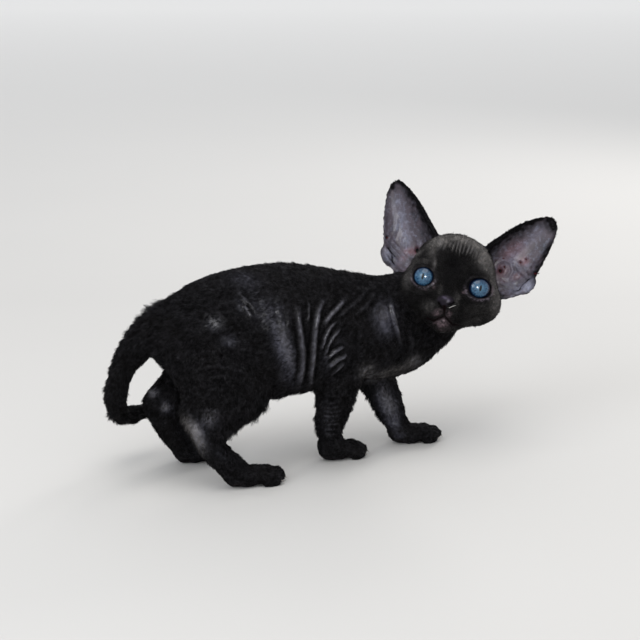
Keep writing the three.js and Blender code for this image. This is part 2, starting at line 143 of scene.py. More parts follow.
def lid_ring(side):
    """The margin of the two lids, a thin soft ring with a drawn-out corner at each end."""
    around, across = 56, 8
    wide, high, thick = EYE_WIDE[side] + 0.35, EYE_HIGH[side] + 0.3, 0.6
    rows = []
    for i in range(around):
        angle = 2 * math.pi * i / around
        inner = math.exp(-(((angle - math.radians(203)) / 0.26) ** 2))
        outer = math.exp(-(min(angle, 2 * math.pi - angle) / 0.30) ** 2)
        reach = 1 + 0.2 * inner + 0.05 * outer
        y, z = wide * math.cos(angle) * reach, high * math.sin(angle) * reach
        ball = EYE_RADIUS + 0.3
        x = math.sqrt(max(ball**2 - y * y - z * z, 1.0))
        middle = np.array((x, y, z))
        out = middle / np.linalg.norm(middle)
        away = np.array((0.0, y, z)) / math.hypot(y, z)
        away = away - out * (away @ out)
        away /= np.linalg.norm(away)
        for j in range(across):
            turn = 2 * math.pi * j / across
            rows.append(middle + thick * (math.cos(turn) * out + math.sin(turn) * away))
    rows = np.array(rows)
    rows[:, 1] *= side
    faces = [tuple(i % len(rows) for i in face) for face in tube_faces(0, around + 1, across)]
    return from_eye(rows, side), faces if side > 0 else [face[::-1] for face in faces]


gathered = bmesh.new()
for node in FLESH:
    body = bmesh.new()
    body.from_mesh(nodes[node].data)
    bmesh.ops.remove_doubles(body, verts=body.verts, dist=1e-6)
    bmesh.ops.recalc_face_normals(body, faces=body.faces)
    body.normal_update()
    for vert in body.verts:
        vert.co += vert.normal * SWELL * MM
    swollen = bpy.data.meshes.new(node)
    body.to_mesh(swollen)
    body.free()
    gathered.from_mesh(swollen)
    bpy.data.meshes.remove(swollen)
for side in (-1, 1):
    ring, ring_faces = lid_ring(side)
    verts = [gathered.verts.new(point * MM) for point in ring]
    made = [gathered.faces.new([verts[i] for i in face]) for face in ring_faces]
    bmesh.ops.recalc_face_normals(gathered, faces=made)
body_mesh = bpy.data.meshes.new("skin")
gathered.to_mesh(body_mesh)
gathered.free()
skin = bpy.data.objects.new("skin", body_mesh)
bpy.context.scene.collection.objects.link(skin)
fuse = skin.modifiers.new("fuse", "REMESH")
fuse.mode = "VOXEL"
fuse.voxel_size = GRAIN * MM
fused = bpy.data.meshes.new_from_object(skin.evaluated_get(bpy.context.evaluated_depsgraph_get()))
skin.modifiers.clear()
skin.data = fused

# Only the outer surface is kept: what the fusing sealed inside goes.
shell = bmesh.new()
shell.from_mesh(fused)
unseen, islands = set(range(len(shell.verts))), []
shell.verts.ensure_lookup_table()
while unseen:
    start = unseen.pop()
    island, edge_of = [start], [shell.verts[start]]
    while edge_of:
        for link in edge_of.pop().link_edges:
            for vert in link.verts:
                if vert.index in unseen:
                    unseen.discard(vert.index)
                    island.append(vert.index)
                    edge_of.append(vert)
    islands.append(island)
islands.sort(key=len)
bmesh.ops.delete(shell, geom=[shell.verts[i] for island in islands[:-1] for i in island], context="VERTS")

# The head, the ears and the folded flanks need twice the fineness of the rest.
SKULL_MIDDLE, HEAD_REACH, HEAD_REAR = (0, 0, -2), 37.0, -12.0
FLANK_LOW, FLANK_HIGH, FLANK_OUT = (-50, -60, 46), (32, 60, 104), 9
shell.verts.ensure_lookup_table()
ears_low = {side: np.array(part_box(f"ear_{side}")[0]) - MM for side in ("right", "left")}
ears_high = {side: np.array(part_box(f"ear_{side}")[1]) + MM for side in ("right", "left")}
spots = np.array([vert.co for vert in shell.verts])
fine = lengths_of(spots / MM - from_head(SKULL_MIDDLE)) < HEAD_REACH
fine &= to_head(spots / MM)[:, 0] > HEAD_REAR
flanks = np.all((spots > np.array(FLANK_LOW) * MM) & (spots < np.array(FLANK_HIGH) * MM), axis=1)
fine |= flanks & (np.abs(spots[:, 1]) > FLANK_OUT * MM)
for side in ("right", "left"):
    fine |= np.all((spots > ears_low[side]) & (spots < ears_high[side]), axis=1)
chosen = [edge for edge in shell.edges if fine[edge.verts[0].index] and fine[edge.verts[1].index]]
bmesh.ops.subdivide_edges(shell, edges=chosen, cuts=1, use_grid_fill=True)
bmesh.ops.triangulate(shell, faces=[face for face in shell.faces if len(face.verts) > 4])
shell.to_mesh(fused)
shell.free()

V = places(fused)
links = np.empty(len(fused.edges) * 2, np.int32)
fused.edges.foreach_get("vertices", links)
links = links.reshape(-1, 2)
near_count = np.bincount(links.ravel(), minlength=len(V)).astype(float)


def mean_of_near(values):
    """For each point of the skin, the mean of a value over the points joined to it."""
    columns = values.reshape(len(values), -1)
    out = np.empty_like(columns)
    for k, column in enumerate(columns.T):
        out[:, k] = np.bincount(links[:, 0], column[links[:, 1]], len(column))
        out[:, k] += np.bincount(links[:, 1], column[links[:, 0]], len(column))
    return (out / near_count[:, None]).reshape(values.shape)


def smoothed(points, rounds):
    """Evens a surface out without shrinking it: each round draws it in and lets it out again."""
    for _ in range(rounds):
        for amount in (0.5, -0.52):
            points = points + amount * (mean_of_near(points) - points)
    return points


def evened(points, rounds, share):
    """Takes out unevenness smaller than a given size, and puts back what that drew in of the larger form."""
    def blurred(values):
        for _ in range(rounds):
            values = 0.5 * values + 0.5 * mean_of_near(values)
        return values

    low = blurred(points)
    return points + share[:, None] * (low + blurred(points - low) - points)


def ripples(points, size, start):
    """Soft unevenness of a given size in millimetres, the same in every run: a sum of crossing waves."""
    waves = np.random.default_rng(start)
    total = np.zeros(len(points))
    for _ in range(18):
        way = waves.normal(size=3)
        way *= waves.uniform(0.7, 1.4) * 2 * math.pi / (size * np.linalg.norm(way))
        total += np.sin(points @ way + waves.uniform(0, 2 * math.pi))
    return total / 3.0


V = smoothed(V, 4)

# Each point of the skin belongs to the part of the body whose solid is nearest, with soft bounds between.
BLEND_ROUNDS = 14
marks = KDTree(sum(len(nodes[node].data.vertices) for node in FLESH))
region_names = list(REGIONS)
count = 0
mark_region = []
for index, name in enumerate(region_names):
    for node in REGIONS[name]:
        for point in places(nodes[node].data):
            marks.insert(point, count)
            mark_region.append(index)
            count += 1
marks.balance()
nearest = np.array([mark_region[marks.find(point)[1]] for point in V])
belongs = np.zeros((len(V), len(region_names)))
belongs[np.arange(len(V)), nearest] = 1
for _ in range(BLEND_ROUNDS):
    belongs = mean_of_near(belongs)
share_of = {name: belongs[:, i] for i, name in enumerate(region_names)}
on_head = share_of["head"]
on_ears = np.clip(share_of["ear_right"] + share_of["ear_left"], 0, 1)
on_trunk = share_of["trunk"]
off_head = np.clip(1 - on_head - on_ears, 0, 1)

# The facets of the solids are evened out: most on the trunk and skull, least where a form is small.
MUZZLE_AT = (21, 0, -13)
in_head = to_head(V)
face_far = np.clip(lengths_of(in_head - MUZZLE_AT) / 5 - 2.0, 0, 1)
for side in (-1, 1):
    face_far *= np.clip(lengths_of(to_eye(V, side)) / 2.5 - 4.0, 0, 1)
EVENING = {"trunk": 60, "head": 46, "limbs": 18, "ears": 7, "paws": 3}
V = evened(V, EVENING["trunk"], np.clip(on_trunk * 1.4 - 0.4, 0, 1))
V = evened(V, EVENING["head"], np.clip(on_head * 1.4 - 0.4, 0, 1) * face_far)
limbs = np.clip(1 - on_trunk - on_head - on_ears - share_of["paws"], 0, 1)
V = evened(V, EVENING["limbs"], np.clip(limbs * 1.4 - 0.4, 0, 1))
V = evened(V, EVENING["ears"], np.clip(on_ears * 1.5 - 0.2, 0, 1))
V = evened(V, EVENING["paws"], share_of["paws"])

# Where two parts of the body meet, the loose skin runs over the joint in a soft hollow.
SEAM_ROUNDS = 26
seam = 1 - belongs.max(axis=1)
seam = np.clip(seam * 2.2, 0, 1) * (1 - on_head) * (1 - on_ears)
for _ in range(SEAM_ROUNDS):
    V = V + 0.5 * seam[:, None] * (mean_of_near(V) - V)
V = smoothed(V, 2)

put_places(fused, V)
N = ways_out(fused)
depth = np.full(len(V), LEG_COAT_DEPTH)
for name, amount in COAT_DEPTH.items():
    depth += share_of[name] * (amount - LEG_COAT_DEPTH)
draw_in = N * (SWELL + depth)[:, None]
draw_in[:, 2] *= np.clip((V[:, 2] - 0.4) / 3.0, 0, 1)
V = V - draw_in
V[:, 2] = np.maximum(V[:, 2], FLOOR_GAP)

# The view of the photo, which also says where each fold and mark of the skin lies. A mark is given in the
# photo's own pixels, 640 across, and is laid on the part of the skin that faces the camera; the flank that
# the photo hides carries the same marks as the one that it shows.
CAMERA_AT = np.array((-265.7, -704.9, 308.6)) + MIDDLE
AZIMUTH, ELEVATION, FOCAL = math.radians(-21), math.radians(17), 1500.0
LEVEL = math.cos(ELEVATION)
BACK = np.array((math.sin(AZIMUTH) * LEVEL, -math.cos(AZIMUTH) * LEVEL, math.sin(ELEVATION)))
RIGHT = np.array((math.cos(AZIMUTH), math.sin(AZIMUTH), 0.0))
ABOVE = np.cross(BACK, RIGHT)


def photo_place(points):
    seen = points - CAMERA_AT
    far = -(seen @ BACK)
    return np.stack((320 + FOCAL * (seen @ RIGHT) / far, 320 - FOCAL * (seen @ ABOVE) / far), axis=1)


mirror = np.array((1.0, -1.0, 1.0))
far_side = (V[:, 1] > 4) & (share_of["trunk"] > 0.5)
as_seen = np.where(far_side[:, None], V * mirror, V)
as_facing = np.where(far_side[:, None], N * mirror, N)
to_camera = at_length_one(CAMERA_AT - as_seen)
facing = np.clip(dots(as_facing, to_camera) * 4, 0, 1)
PX = photo_place(as_seen)


def beside(spots, line):
    """How far each spot lies off a bent line, and its share of the way along it."""
    line = np.array(line, float)
    lengths = lengths_of(np.diff(line, axis=0))
    off, along = np.full(len(spots), 1e9), np.zeros(len(spots))
    for i, length in enumerate(lengths):
        way = line[i + 1] - line[i]
        t = np.clip(((spots - line[i]) @ way) / length**2, 0, 1)
        gap = lengths_of(spots - line[i] - t[:, None] * way)
        closer = gap < off
        off[closer] = gap[closer]
        along[closer] = (lengths[:i].sum() + t[closer] * length) / lengths.sum()
    return off, along


def off_line(line, width):
    """Which points lie near a line in the photo, how far off it, and their share along it."""
    low, high = np.min(line, axis=0) - 4 * width, np.max(line, axis=0) + 4 * width
    inside = np.where(np.all((PX > low) & (PX < high), axis=1) & (facing > 0))[0]
    return inside, *beside(PX[inside], line)


lift = np.zeros(len(V))
shine = np.zeros(len(V))
pale = np.zeros(len(V))
pink = np.zeros(len(V))
# Dark in the colour: the kitten's black marks and lid rims, and painted shade in the hollows of the folds.
black = np.zeros(len(V))


def fold(line, width, height, gloss, only):
    """A fold of skin along a line in the photo, with a hollow down each side. Where the fold is glossy, its
    crest takes a painted highlight in the colour and its hollows take painted shade.
    """
    inside, off, along = off_line(line, width)
    taper = np.clip(np.minimum(along, 1 - along) * 5, 0, 1) ** 0.7
    taper = taper * facing[inside] * only[inside]
    crest = np.exp(-((off / (0.85 * width)) ** 2))
    hollow = np.exp(-(((off - 0.95 * width - 1.4) / (0.35 * width + 0.6)) ** 2))
    lift[inside] += taper * height * (crest - 0.6 * hollow)
    # The crest's gloss also lays grey and pale into the colour: partly the bare skin's own grey, partly a
    # painted highlight.
    crest_gloss_and_highlight = taper * gloss * np.exp(-((off / (0.75 * width)) ** 2))
    shine[inside] = np.maximum(shine[inside], crest_gloss_and_highlight)
    pale[inside] = np.maximum(pale[inside], 0.25 * crest_gloss_and_highlight)
    # Painted shade: beside a glossy crest the hollows are laid dark in the colour.
    if gloss > 0:
        black[inside] = np.maximum(black[inside], min(0.85, 1.3 * gloss) * taper * hollow)


def patch(field, at, size, turn, amount, only):
    """A soft oval mark on the skin, at a place and size in the photo's pixels."""
    away = PX - np.array(at, float)
    c, s = math.cos(math.radians(turn)), math.sin(math.radians(turn))
    x, y = away[:, 0] * c + away[:, 1] * s, -away[:, 0] * s + away[:, 1] * c
    near = np.exp(-((x / size[0]) ** 2 + (y / size[1]) ** 2) ** 1.3) * facing * amount * only
    field[:] = 1 - (1 - field) * (1 - near)


def patches(field, spots, only):
    for at, size, turn, amount in spots:
        patch(field, at, size, turn, amount, only)


# Folds of the flank: upright ridges behind the elbow, and a fan that runs up from it over the ribs.
FLANK_FOLDS = [
    ([(298, 306), (299, 322), (301.5, 338), (303, 354), (302.5, 370), (298, 388)], 3.4, 1.3, 0.8),
    ([(309, 301), (309, 312), (308.5, 322)], 1.4, 0.6, 0.4),
    (
        [(324, 298), (318.5, 311), (316, 326), (314.5, 340), (313.5, 354), (311.5, 370), (310, 388)],
        3.1, 1.3, 0.9,
    ),
    ([(346, 299), (338, 307.5), (330.5, 315.5), (323.5, 325)], 2.6, 1.2, 1.0),
    ([(337, 321), (330, 328), (325, 338), (322.5, 350)], 1.9, 0.95, 0.9),
    ([(341, 328), (334, 336), (328.5, 345), (325, 359)], 1.7, 0.85, 0.8),
    ([(345, 346), (336, 351), (326, 359)], 2.0, 1.0, 1.0),
    ([(347, 355), (338, 360), (329, 367)], 1.9, 0.9, 0.95),
    ([(345, 363), (338, 369), (331, 375)], 1.5, 0.65, 0.55),
    ([(369, 288), (360, 299), (348, 309), (338, 318)], 2.1, 0.65, 0.2),
    ([(376, 292), (368, 304), (356, 315)], 2.1, 0.6, 0.15),
    ([(289, 298), (288, 312), (290, 326)], 1.9, 0.35, 0.0),
    ([(278, 300), (279, 312), (283, 324)], 2.4, 0.3, 0.0),
    ([(244, 304), (248, 311), (252, 317)], 1.5, 0.7, 1.0),
    ([(238, 291), (244, 299), (251, 305)], 2.0, 0.5, 0.35),
    ([(376, 305), (376, 318), (377, 332)], 2.2, 0.3, 0.0),
    ([(391, 302), (395, 320), (399.5, 340)], 1.7, 1.0, 0.0),
    ([(360, 372), (380, 369), (402, 364), (418, 356)], 3.0, 0.35, 0.0),
    ([(362, 383), (370, 379), (378, 380)], 2.0, 0.5, 0.2),
    ([(362, 372), (368, 367), (375, 366)], 1.8, 0.5, 0.3),
    ([(408, 331), (413, 343), (409, 354)], 2.4, 0.5, 0.15),
    ([(352, 318), (360, 328), (362, 342)], 2.6, 0.4, 0.1),
]

# Fine rings of skin round the forearm, over the thigh and at the hock.
LIMB_FOLDS = [
    ([(320, 401), (329, 403.5), (341, 401)], 1.4, 0.35, 0.2),
    ([(321, 406), (330, 408), (340, 407)], 1.3, 0.3, 0.4),
    ([(321, 410.5), (331, 412.5), (343, 410)], 1.4, 0.4, 0.3),
    ([(321, 415), (329, 416.5), (340, 415.5)], 1.2, 0.3, 0.5),
    ([(322, 419.5), (330, 421), (342, 419)], 1.4, 0.38, 0.35),
    ([(322, 424), (329, 425), (339, 424)], 1.2, 0.26, 0.4),
    ([(323, 428.5), (332, 430), (342, 428)], 1.5, 0.36, 0.2),
    ([(324, 434), (332, 435), (338, 434)], 1.3, 0.3, 0.3),
    ([(322, 395), (334, 397), (346, 394)], 1.6, 0.3, 0.1),
    ([(374, 399), (384, 402), (393, 398)], 2.0, 0.18, 0.0),
    ([(382, 412), (390, 415), (399, 410)], 2.0, 0.2, 0.0),
    ([(386, 424), (393, 426), (401, 422)], 1.6, 0.25, 0.0),
    ([(193, 370), (212, 366), (232, 368), (248, 374)], 1.8, 0.4, 0.15),
    ([(203, 379), (222, 376), (240, 379)], 1.6, 0.35, 0.15),
    ([(207, 391), (216, 388), (226, 391)], 1.6, 0.3, 0.25),
    ([(196, 413), (207, 409), (218, 412), (225, 420)], 1.7, 0.4, 0.2),
    ([(203, 425), (211, 421), (219, 426)], 1.6, 0.3, 0.0),
    ([(232, 352), (246, 349), (262, 352), (276, 360)], 2.2, 0.4, 0.1),
]
for line, width, height, gloss in FLANK_FOLDS + LIMB_FOLDS:
    fold(line, width, height, gloss, off_head)

# Bare and thin-haired places, where the grey skin shows and shines. The grey laid on them in the colour is
# partly the skin's own and partly painted sheen.
GLOSSY = [
    ((284, 348), (9, 27), -18, 0.95), ((262, 308), (20, 13), 25, 0.25), ((246, 281), (15, 9), 20, 0.36),
    ((275, 316), (16, 14), 0, 0.28), ((214, 323), (9, 8), 20, 0.45), ((385, 320), (11, 16), -4, 1.0),
    ((197, 434), (8, 19), -26, 1.0), ((210, 420), (11, 9), -10, 0.6), ((153.5, 393), (5.5, 5), -20, 1.0),
    ((166, 407), (6, 7), -25, 0.9), ((386, 403), (10, 21), -22, 1.0), ((393, 420), (7, 11), -20, 0.8),
    ((395.3, 321), (2.2, 19), -12.6, 1.0), ((229, 340), (8, 6), 20, 0.35), ((243, 306), (5, 9), -30, 0.5),
    ((366, 374), (9, 9), 0, 0.5), ((293, 376), (12, 10), 0, 0.4), ((230, 342), (8, 6), 0, 0.2),
    ((328, 419), (7, 16), 0, 0.4), ((416, 361), (8, 5), -25, 0.4), ((222, 454), (9, 6), 30, 0.2),
    ((332, 355), (12, 22), 10, 0.25), ((399, 436), (6, 3), -10, 0.5),
]
patches(shine, GLOSSY, off_head)
shine *= 1 - 0.8 * black
THIN_COAT = [
    ((367, 371), (9, 8), -30, 0.5), ((391, 372), (20, 5), -18, 0.35), ((414, 361), (9, 5), -25, 0.45),
    ((195, 433), (6, 18), -26, 0.9), ((210, 418), (8, 7), 0, 0.2), ((286, 345), (5, 22), -18, 0.2),
    ((384, 314), (7, 9), 0, 0.3), ((153, 393), (4.5, 4), -20, 0.5), ((396, 321), (1.5, 16), -12.6, 0.35),
    ((165, 407), (4, 4), -25, 0.4), ((388, 400), (6, 14), -22, 0.3),
]
patches(pale, THIN_COAT, off_head)

# Folds of the face: streaks up the forehead, the bags and creases round the eyes, and the pads of the lip.
FACE_FOLDS = [
    ([(452, 237), (451.5, 243), (449, 249)], 0.9, 0.18),
    ([(456, 236), (454.5, 244), (452, 253)], 1.0, 0.26),
    ([(460, 237), (457.5, 246), (456, 256)], 0.9, 0.24),
    ([(464, 237.5), (460.5, 247), (459, 258)], 1.0, 0.3),
    ([(468, 239), (464.5, 247), (462, 255)], 0.9, 0.26),
    ([(471.5, 241), (469, 248), (465, 257)], 0.9, 0.24), ([(475, 244), (472, 250), (469, 256)], 0.9, 0.2),
    ([(479, 247), (477, 253), (475, 259)], 1.0, 0.18), ([(447, 238), (446, 244), (443, 250)], 1.0, 0.14),
    ([(482, 252), (482, 261), (485, 270)], 1.5, 0.25), ([(488, 256), (489, 264), (491, 273)], 1.5, 0.22),
    ([(411, 262), (420, 259.5), (431, 262.5), (437, 269)], 1.1, 0.3),
    ([(464, 279), (472, 273.5), (483, 273.5), (493, 280)], 1.1, 0.3),
    ([(411, 288), (420, 293), (431, 293)], 1.4, 0.22), ([(470, 304), (480, 306), (491, 302)], 1.4, 0.22),
    ([(434, 293), (431, 303), (430, 313)], 1.6, 0.2),
    ([(456, 297), (459, 306), (460, 316), (456, 325)], 1.7, 0.26),
    ([(408, 300), (414, 313), (424, 325)], 2.2, 0.22), ([(497, 297), (494, 310), (484, 320)], 2.2, 0.2),
    ([(426, 325), (432, 330), (437, 336)], 1.6, 0.2),
]
FOREHEAD_BELOW = 250  # the streaks above this height in the photo are pale, with dark between them
for line, width, height in FACE_FOLDS:
    fold(line, width, height, 0.0, on_head)
    if line[0][1] < FOREHEAD_BELOW:
        inside, off, along = off_line(line, width)
        streak = np.exp(-((off / (0.85 * width)) ** 2))
        streak *= np.clip(along * 8, 0, 1) * np.clip(3.4 - 3.4 * along, 0, 1)
        pale[inside] = np.maximum(pale[inside], 3.2 * height * streak * facing[inside] * on_head[inside])
        gap = np.exp(-(((off - 1.9 * width) / (0.7 * width)) ** 2)) * np.clip(3 * along - 0.6, 0, 1)
        black[inside] = np.maximum(black[inside], 0.6 * gap * facing[inside] * on_head[inside])

# Each ear is a thin leaf of gristle with a nearly bare inside: the canal low down towards the face, ribs of
# gristle that run out of it, and a doubled pocket on the outer edge.
EAR_FOLDS = [
    ([(386, 241), (391, 247), (398, 254), (403, 260)], 1.3, 0.8),
    ([(386, 247), (391, 254), (398, 262)], 1.3, 0.75),
    ([(391, 240), (397, 247), (403, 254), (407, 260)], 1.2, 0.65),
    ([(385, 254), (389, 261), (394, 266)], 1.3, 0.6), ([(404, 236), (403, 246), (405, 257)], 1.5, 0.4),
    ([(410, 247), (406, 252), (410, 257), (416, 258)], 1.2, 0.5),
    ([(418, 240), (419, 246), (421, 252)], 1.4, 0.4), ([(398, 215), (396, 228), (392, 240)], 1.6, 0.25),
    ([(387, 233), (390, 237), (389, 242)], 1.3, 0.5),
    ([(512, 262), (519, 270), (525, 276), (531, 281)], 1.5, 0.45),
    ([(509, 291), (517, 293), (527, 291), (534, 286)], 1.6, 0.9),
    ([(511, 284), (518, 281), (526, 278)], 1.5, 0.6), ([(498, 280), (505, 285), (512, 287)], 1.5, 0.5),
    ([(496, 269), (498, 263), (504, 260), (511, 264), (513, 271), (509, 278), (502, 279)], 1.4, 0.6),
    ([(536, 262), (533, 270), (535, 278)], 1.3, 0.5),
]
ear_ridge = np.zeros(len(V))
for line, width, height in EAR_FOLDS:
    fold(line, 1.25 * width, 0.7 * height, 0.0, on_ears)
    inside, off, along = off_line(line, width)
    ear_ridge[inside] = np.maximum(ear_ridge[inside], min(height, 0.7) * np.exp(-((off / width) ** 2)))
EAR_PITS = [
    ((416.5, 250.5), (2.3, 3.0), 1.7), ((500.5, 271), (2.6, 2.4), 1.5), ((504.5, 267), (1.2, 1.6), 0.8),
    ((520.5, 262.5), (1.3, 1.2), 0.7), ((526, 259.5), (1.1, 1.0), 0.5), ((503.5, 258.5), (1.6, 0.8), 0.5),
    ((535.5, 273.5), (2.0, 1.2), 0.8), ((387.5, 237.5), (1.6, 1.3), 0.7),
]
# Each pit is sunk and laid dark red in the colour: the canal's own red, deepened as painted shade in the
# pit.
canal_and_pit_shade = np.zeros(len(V))
for at, size, sunk in EAR_PITS:
    hole = np.zeros(len(V))
    patch(hole, at, size, 0, 1.0, np.clip(on_ears + on_head, 0, 1))
    lift -= hole * sunk
    canal_and_pit_shade = np.maximum(canal_and_pit_shade, hole)

# The mouth and the lids are placed on the head itself, so that both halves of the face match. The nostrils,
# with their painted shade, and the painted highlight on the nose lie where the photo shows them.
in_head = to_head(V)
front = np.clip(N @ HEAD_TURN[:, 0] * 3, 0, 1) * (in_head[:, 0] > 8)


def face_line(line, width):
    """How near each point of the face is to a line given by its height and side on the head."""
    near = np.zeros(len(V))
    inside = np.where((front > 0) & (in_head[:, 0] > 10))[0]
    off = beside(in_head[inside][:, 1:], line)[0]
    near[inside] = np.exp(-((off / width) ** 2)) * front[inside]
    return near


MOUTH_LINE = [
    (-8.8, -20.9), (-5.2, -21.3), (-2.4, -19.3), (0, -17.9), (2.4, -19.3), (5.2, -21.3), (8.8, -20.9),
]
NOSE_SIDE, NOSE_HEIGHT, NOSE_HALF = -1.1, -10.0, (4.1, 3.0)
PHILTRUM_LINE = [(NOSE_SIDE, -12.6), (-0.2, -17.6)]
# The mouth line, the philtrum and a spot under the nose are sunk a little and laid dark in the colour, as
# painted shade in the slit of the parted mouth and in the grooves.
mouth_line_and_shade = np.maximum(face_line(MOUTH_LINE, 0.75), 0.9 * face_line(PHILTRUM_LINE, 0.55))
lift -= 0.9 * mouth_line_and_shade + 0.4 * face_line(PHILTRUM_LINE, 0.45)
lift += 0.35 * face_line([(y, z - 1.6) for y, z in MOUTH_LINE[1:-1]], 1.0)
nose_across, nose_over = in_head[:, 1] - NOSE_SIDE, in_head[:, 2] - NOSE_HEIGHT
nose_near = (nose_across / NOSE_HALF[0]) ** 2 + (nose_over / NOSE_HALF[1]) ** 2
nose_near *= np.where(nose_over < -1, 1.6, 1.0)
nose = np.clip(1.6 - nose_near, 0, 1) * front
nostril = np.zeros(len(V))
nose_highlight = np.zeros(len(V))
NOSTRILS = [
    ([(438.4, 302.6), (440, 305.4), (442.2, 308.2)], 1.1),
    ([(448.5, 305), (452, 304.2), (455, 302.4)], 1.0),
]
# The nostrils are sunk a little and laid near black in the colour, as painted shade in the openings.
for line, width in NOSTRILS:
    inside, off, along = off_line(line, width)
    nostril[inside] = np.maximum(nostril[inside], np.exp(-((off / width) ** 2)) * on_head[inside])
# Painted highlight: a lighter violet laid on the top of the nose.
patch(nose_highlight, (445.0, 298.0), (2.7, 1.1), 25, 0.9, on_head)
patch(nose_highlight, (448.4, 300.6), (1.5, 1.4), 0, 0.9, on_head)
patch(mouth_line_and_shade, (444, 307.6), (3.6, 3.8), 0, 0.75, on_head)
lift -= 1.2 * nostril
lift += 0.3 * nose

LID_CREASES = [(1.36, 0.5, 1), (1.62, 0.28, 1), (1.34, 0.4, -1), (1.58, 0.32, -1), (1.8, 0.22, -1)]
lid = np.zeros(len(V))
lid_low = np.zeros(len(V))
for side in (-1, 1):
    at_eye = to_eye(V, side)
    y, z = side * at_eye[:, 1], at_eye[:, 2]
    oval = np.hypot(y / (EYE_WIDE[side] + 0.4), z / (EYE_HIGH[side] + 0.35))
    near = at_eye[:, 0] > 2.5
    lid = np.maximum(lid, np.exp(-(((oval - 1.0) / 0.12) ** 2)) * near)
    below = np.exp(-(((oval - 1.2) / 0.12) ** 2)) * near * np.clip(0.4 - z / 4, 0.12, 1)
    lid_low = np.maximum(lid_low, below)
    for ring, deep, above in LID_CREASES:
        lift -= deep * np.exp(-(((oval - ring) / 0.075) ** 2)) * near * np.clip(above * z / 3, 0, 1)
    corner = np.exp(-(((y + EYE_WIDE[side] + 1.0) / 1.1) ** 2 + ((z + 2.4) / 0.9) ** 2)) * near
    pink = np.maximum(pink, corner * 0.6)
for _ in range(2):
    lift = 0.5 * lift + 0.5 * mean_of_near(lift)

# The coat of this breed lies in shallow ripples, and where the thighs pass each other it closes the gap.
waves = 0.15 * ripples(V, 6.5, 3) * off_head + 0.04 * ripples(V, 2.8, 4)
lift += waves * (1 - 0.85 * shine) * (1 - on_ears)
THIGHS_MEET = [((185, 414), (5, 12), "hind_right", 1.5), ((178, 410), (5, 12), "hind_left", 1.3)]
for at, size, share, out in THIGHS_MEET:
    near = (PX - at) / size
    lift += out * np.exp(-dots(near, near)) * share_of[share]
V = V + N * lift[:, None]
V[:, 2] = np.maximum(V[:, 2], FLOOR_GAP)
put_places(fused, V)
N = ways_out(fused)
fused.polygons.foreach_set("use_smooth", np.ones(len(fused.polygons), bool))
print("skin", len(V), "points")

# The lie of the coat: back along the body, down the legs to the toes, down the tail, up the ears, and back
# over the head from the nose. The coat follows it, and so does the grain of the skin.
TAIL_LINE = np.array([
    (-74, 1, 88), (-85, 2.5, 81), (-92.8, 4.5, 72.5), (-98.2, 8, 64), (-101, 12.5, 53.5), (-101.8, 18, 42),
    (-98, 25.5, 30), (-88, 32.5, 26.5), (-79, 35.5, 27),
]) + MIDDLE
EAR_PLACES = {"right": (-1, (-3.5, -20.5, 12), 36, 16, 14), "left": (1, (-3.5, 22.8, 11), 36, 6, 8)}
EAR_BEND = {"right": 4.5, "left": -0.6}


def ear_frame(name):
    side, at, lean, turn, back = EAR_PLACES[name]
    turned = np.array(
        Matrix.Rotation(math.radians(-side * lean), 3, "X")
        @ Matrix.Rotation(math.radians(-back), 3, "Y")
        @ Matrix.Rotation(math.radians(side * turn), 3, "Z")
    )
    return HEAD_TURN @ turned, from_head(at)


NOSE_TIP = (22, 0, -8)
BACK_RUN, BELLY_RUN = (-1, 0, -0.15), (-0.7, 0, -0.7)
LIMB_RUN = {
    "fore_right": (-0.12, 0, -1.0), "fore_left": (-0.12, 0, -1.0), "hind_right": (-0.45, 0, -0.9),
    "hind_left": (-0.45, 0, -0.9), "paws": (1.0, 0, -0.35),
}
tail_near = lengths_of(V[:, None, :] - TAIL_LINE[None, :-1, :]).argmin(axis=1)
tail_way = np.diff(TAIL_LINE, axis=0)[tail_near]
from_nose = V - from_head(NOSE_TIP)
rise = np.clip((V[:, 2] - 40) / 60, 0, 1)[:, None]
lie = share_of["trunk"][:, None] * (rise * BACK_RUN + (1 - rise) * BELLY_RUN)
lie = lie + share_of["tail"][:, None] * at_length_one(tail_way)
lie += on_head[:, None] * at_length_one(from_nose)
for name, run in LIMB_RUN.items():
    lie += share_of[name][:, None] * np.array(run)
for name in ("right", "left"):
    lie += share_of[f"ear_{name}"][:, None] * ear_frame(name)[0][:, 2]
lie -= N * dots(lie, N)[:, None]
for _ in range(6):
    lie = 0.4 * lie + 0.6 * mean_of_near(lie)
lie -= N * dots(lie, N)[:, None]
lie = at_length_one(lie)

# Markings. The kitten is black all over; grey skin shows on the brow and temples, the lips and the corners
# of the eyes are mauve, the insides of the ears grey-pink, and the pads and the nose are bare.
PALE = [
    ((440, 242), (12, 6), -8, 0.9), ((462, 240), (17, 6), 12, 0.75), ((486, 260), (9, 15), -30, 1.0),
    ((478, 248), (10, 8), 30, 0.8), ((478, 309), (16, 5), -8, 0.15), ((432, 252), (5, 6), 0, 0.4),
    ((408, 278), (5, 12), 15, 0.35), ((498, 282), (9, 24), -4, 1.0), ((406, 262), (7, 6), 40, 0.7),
    ((423, 262), (8, 3), 0, 0.3), ((429, 306), (7, 6), 0, 0.35), ((414, 256.5), (9, 2.5), -35, 0.9),
    ((458, 297), (2.5, 3), 0, 0.3), ((434.5, 264), (2.2, 6), 8, 0.6), ((472, 321), (16, 3), -18, 0.15),
    ((498, 305), (7, 12), 20, 0.65), ((441, 290), (2.5, 6), 10, 0.3), ((414, 318), (6, 10), -30, 0.18),
    ((456, 300), (3, 8), 0, 0.25),
]
patches(pale, PALE, on_head)
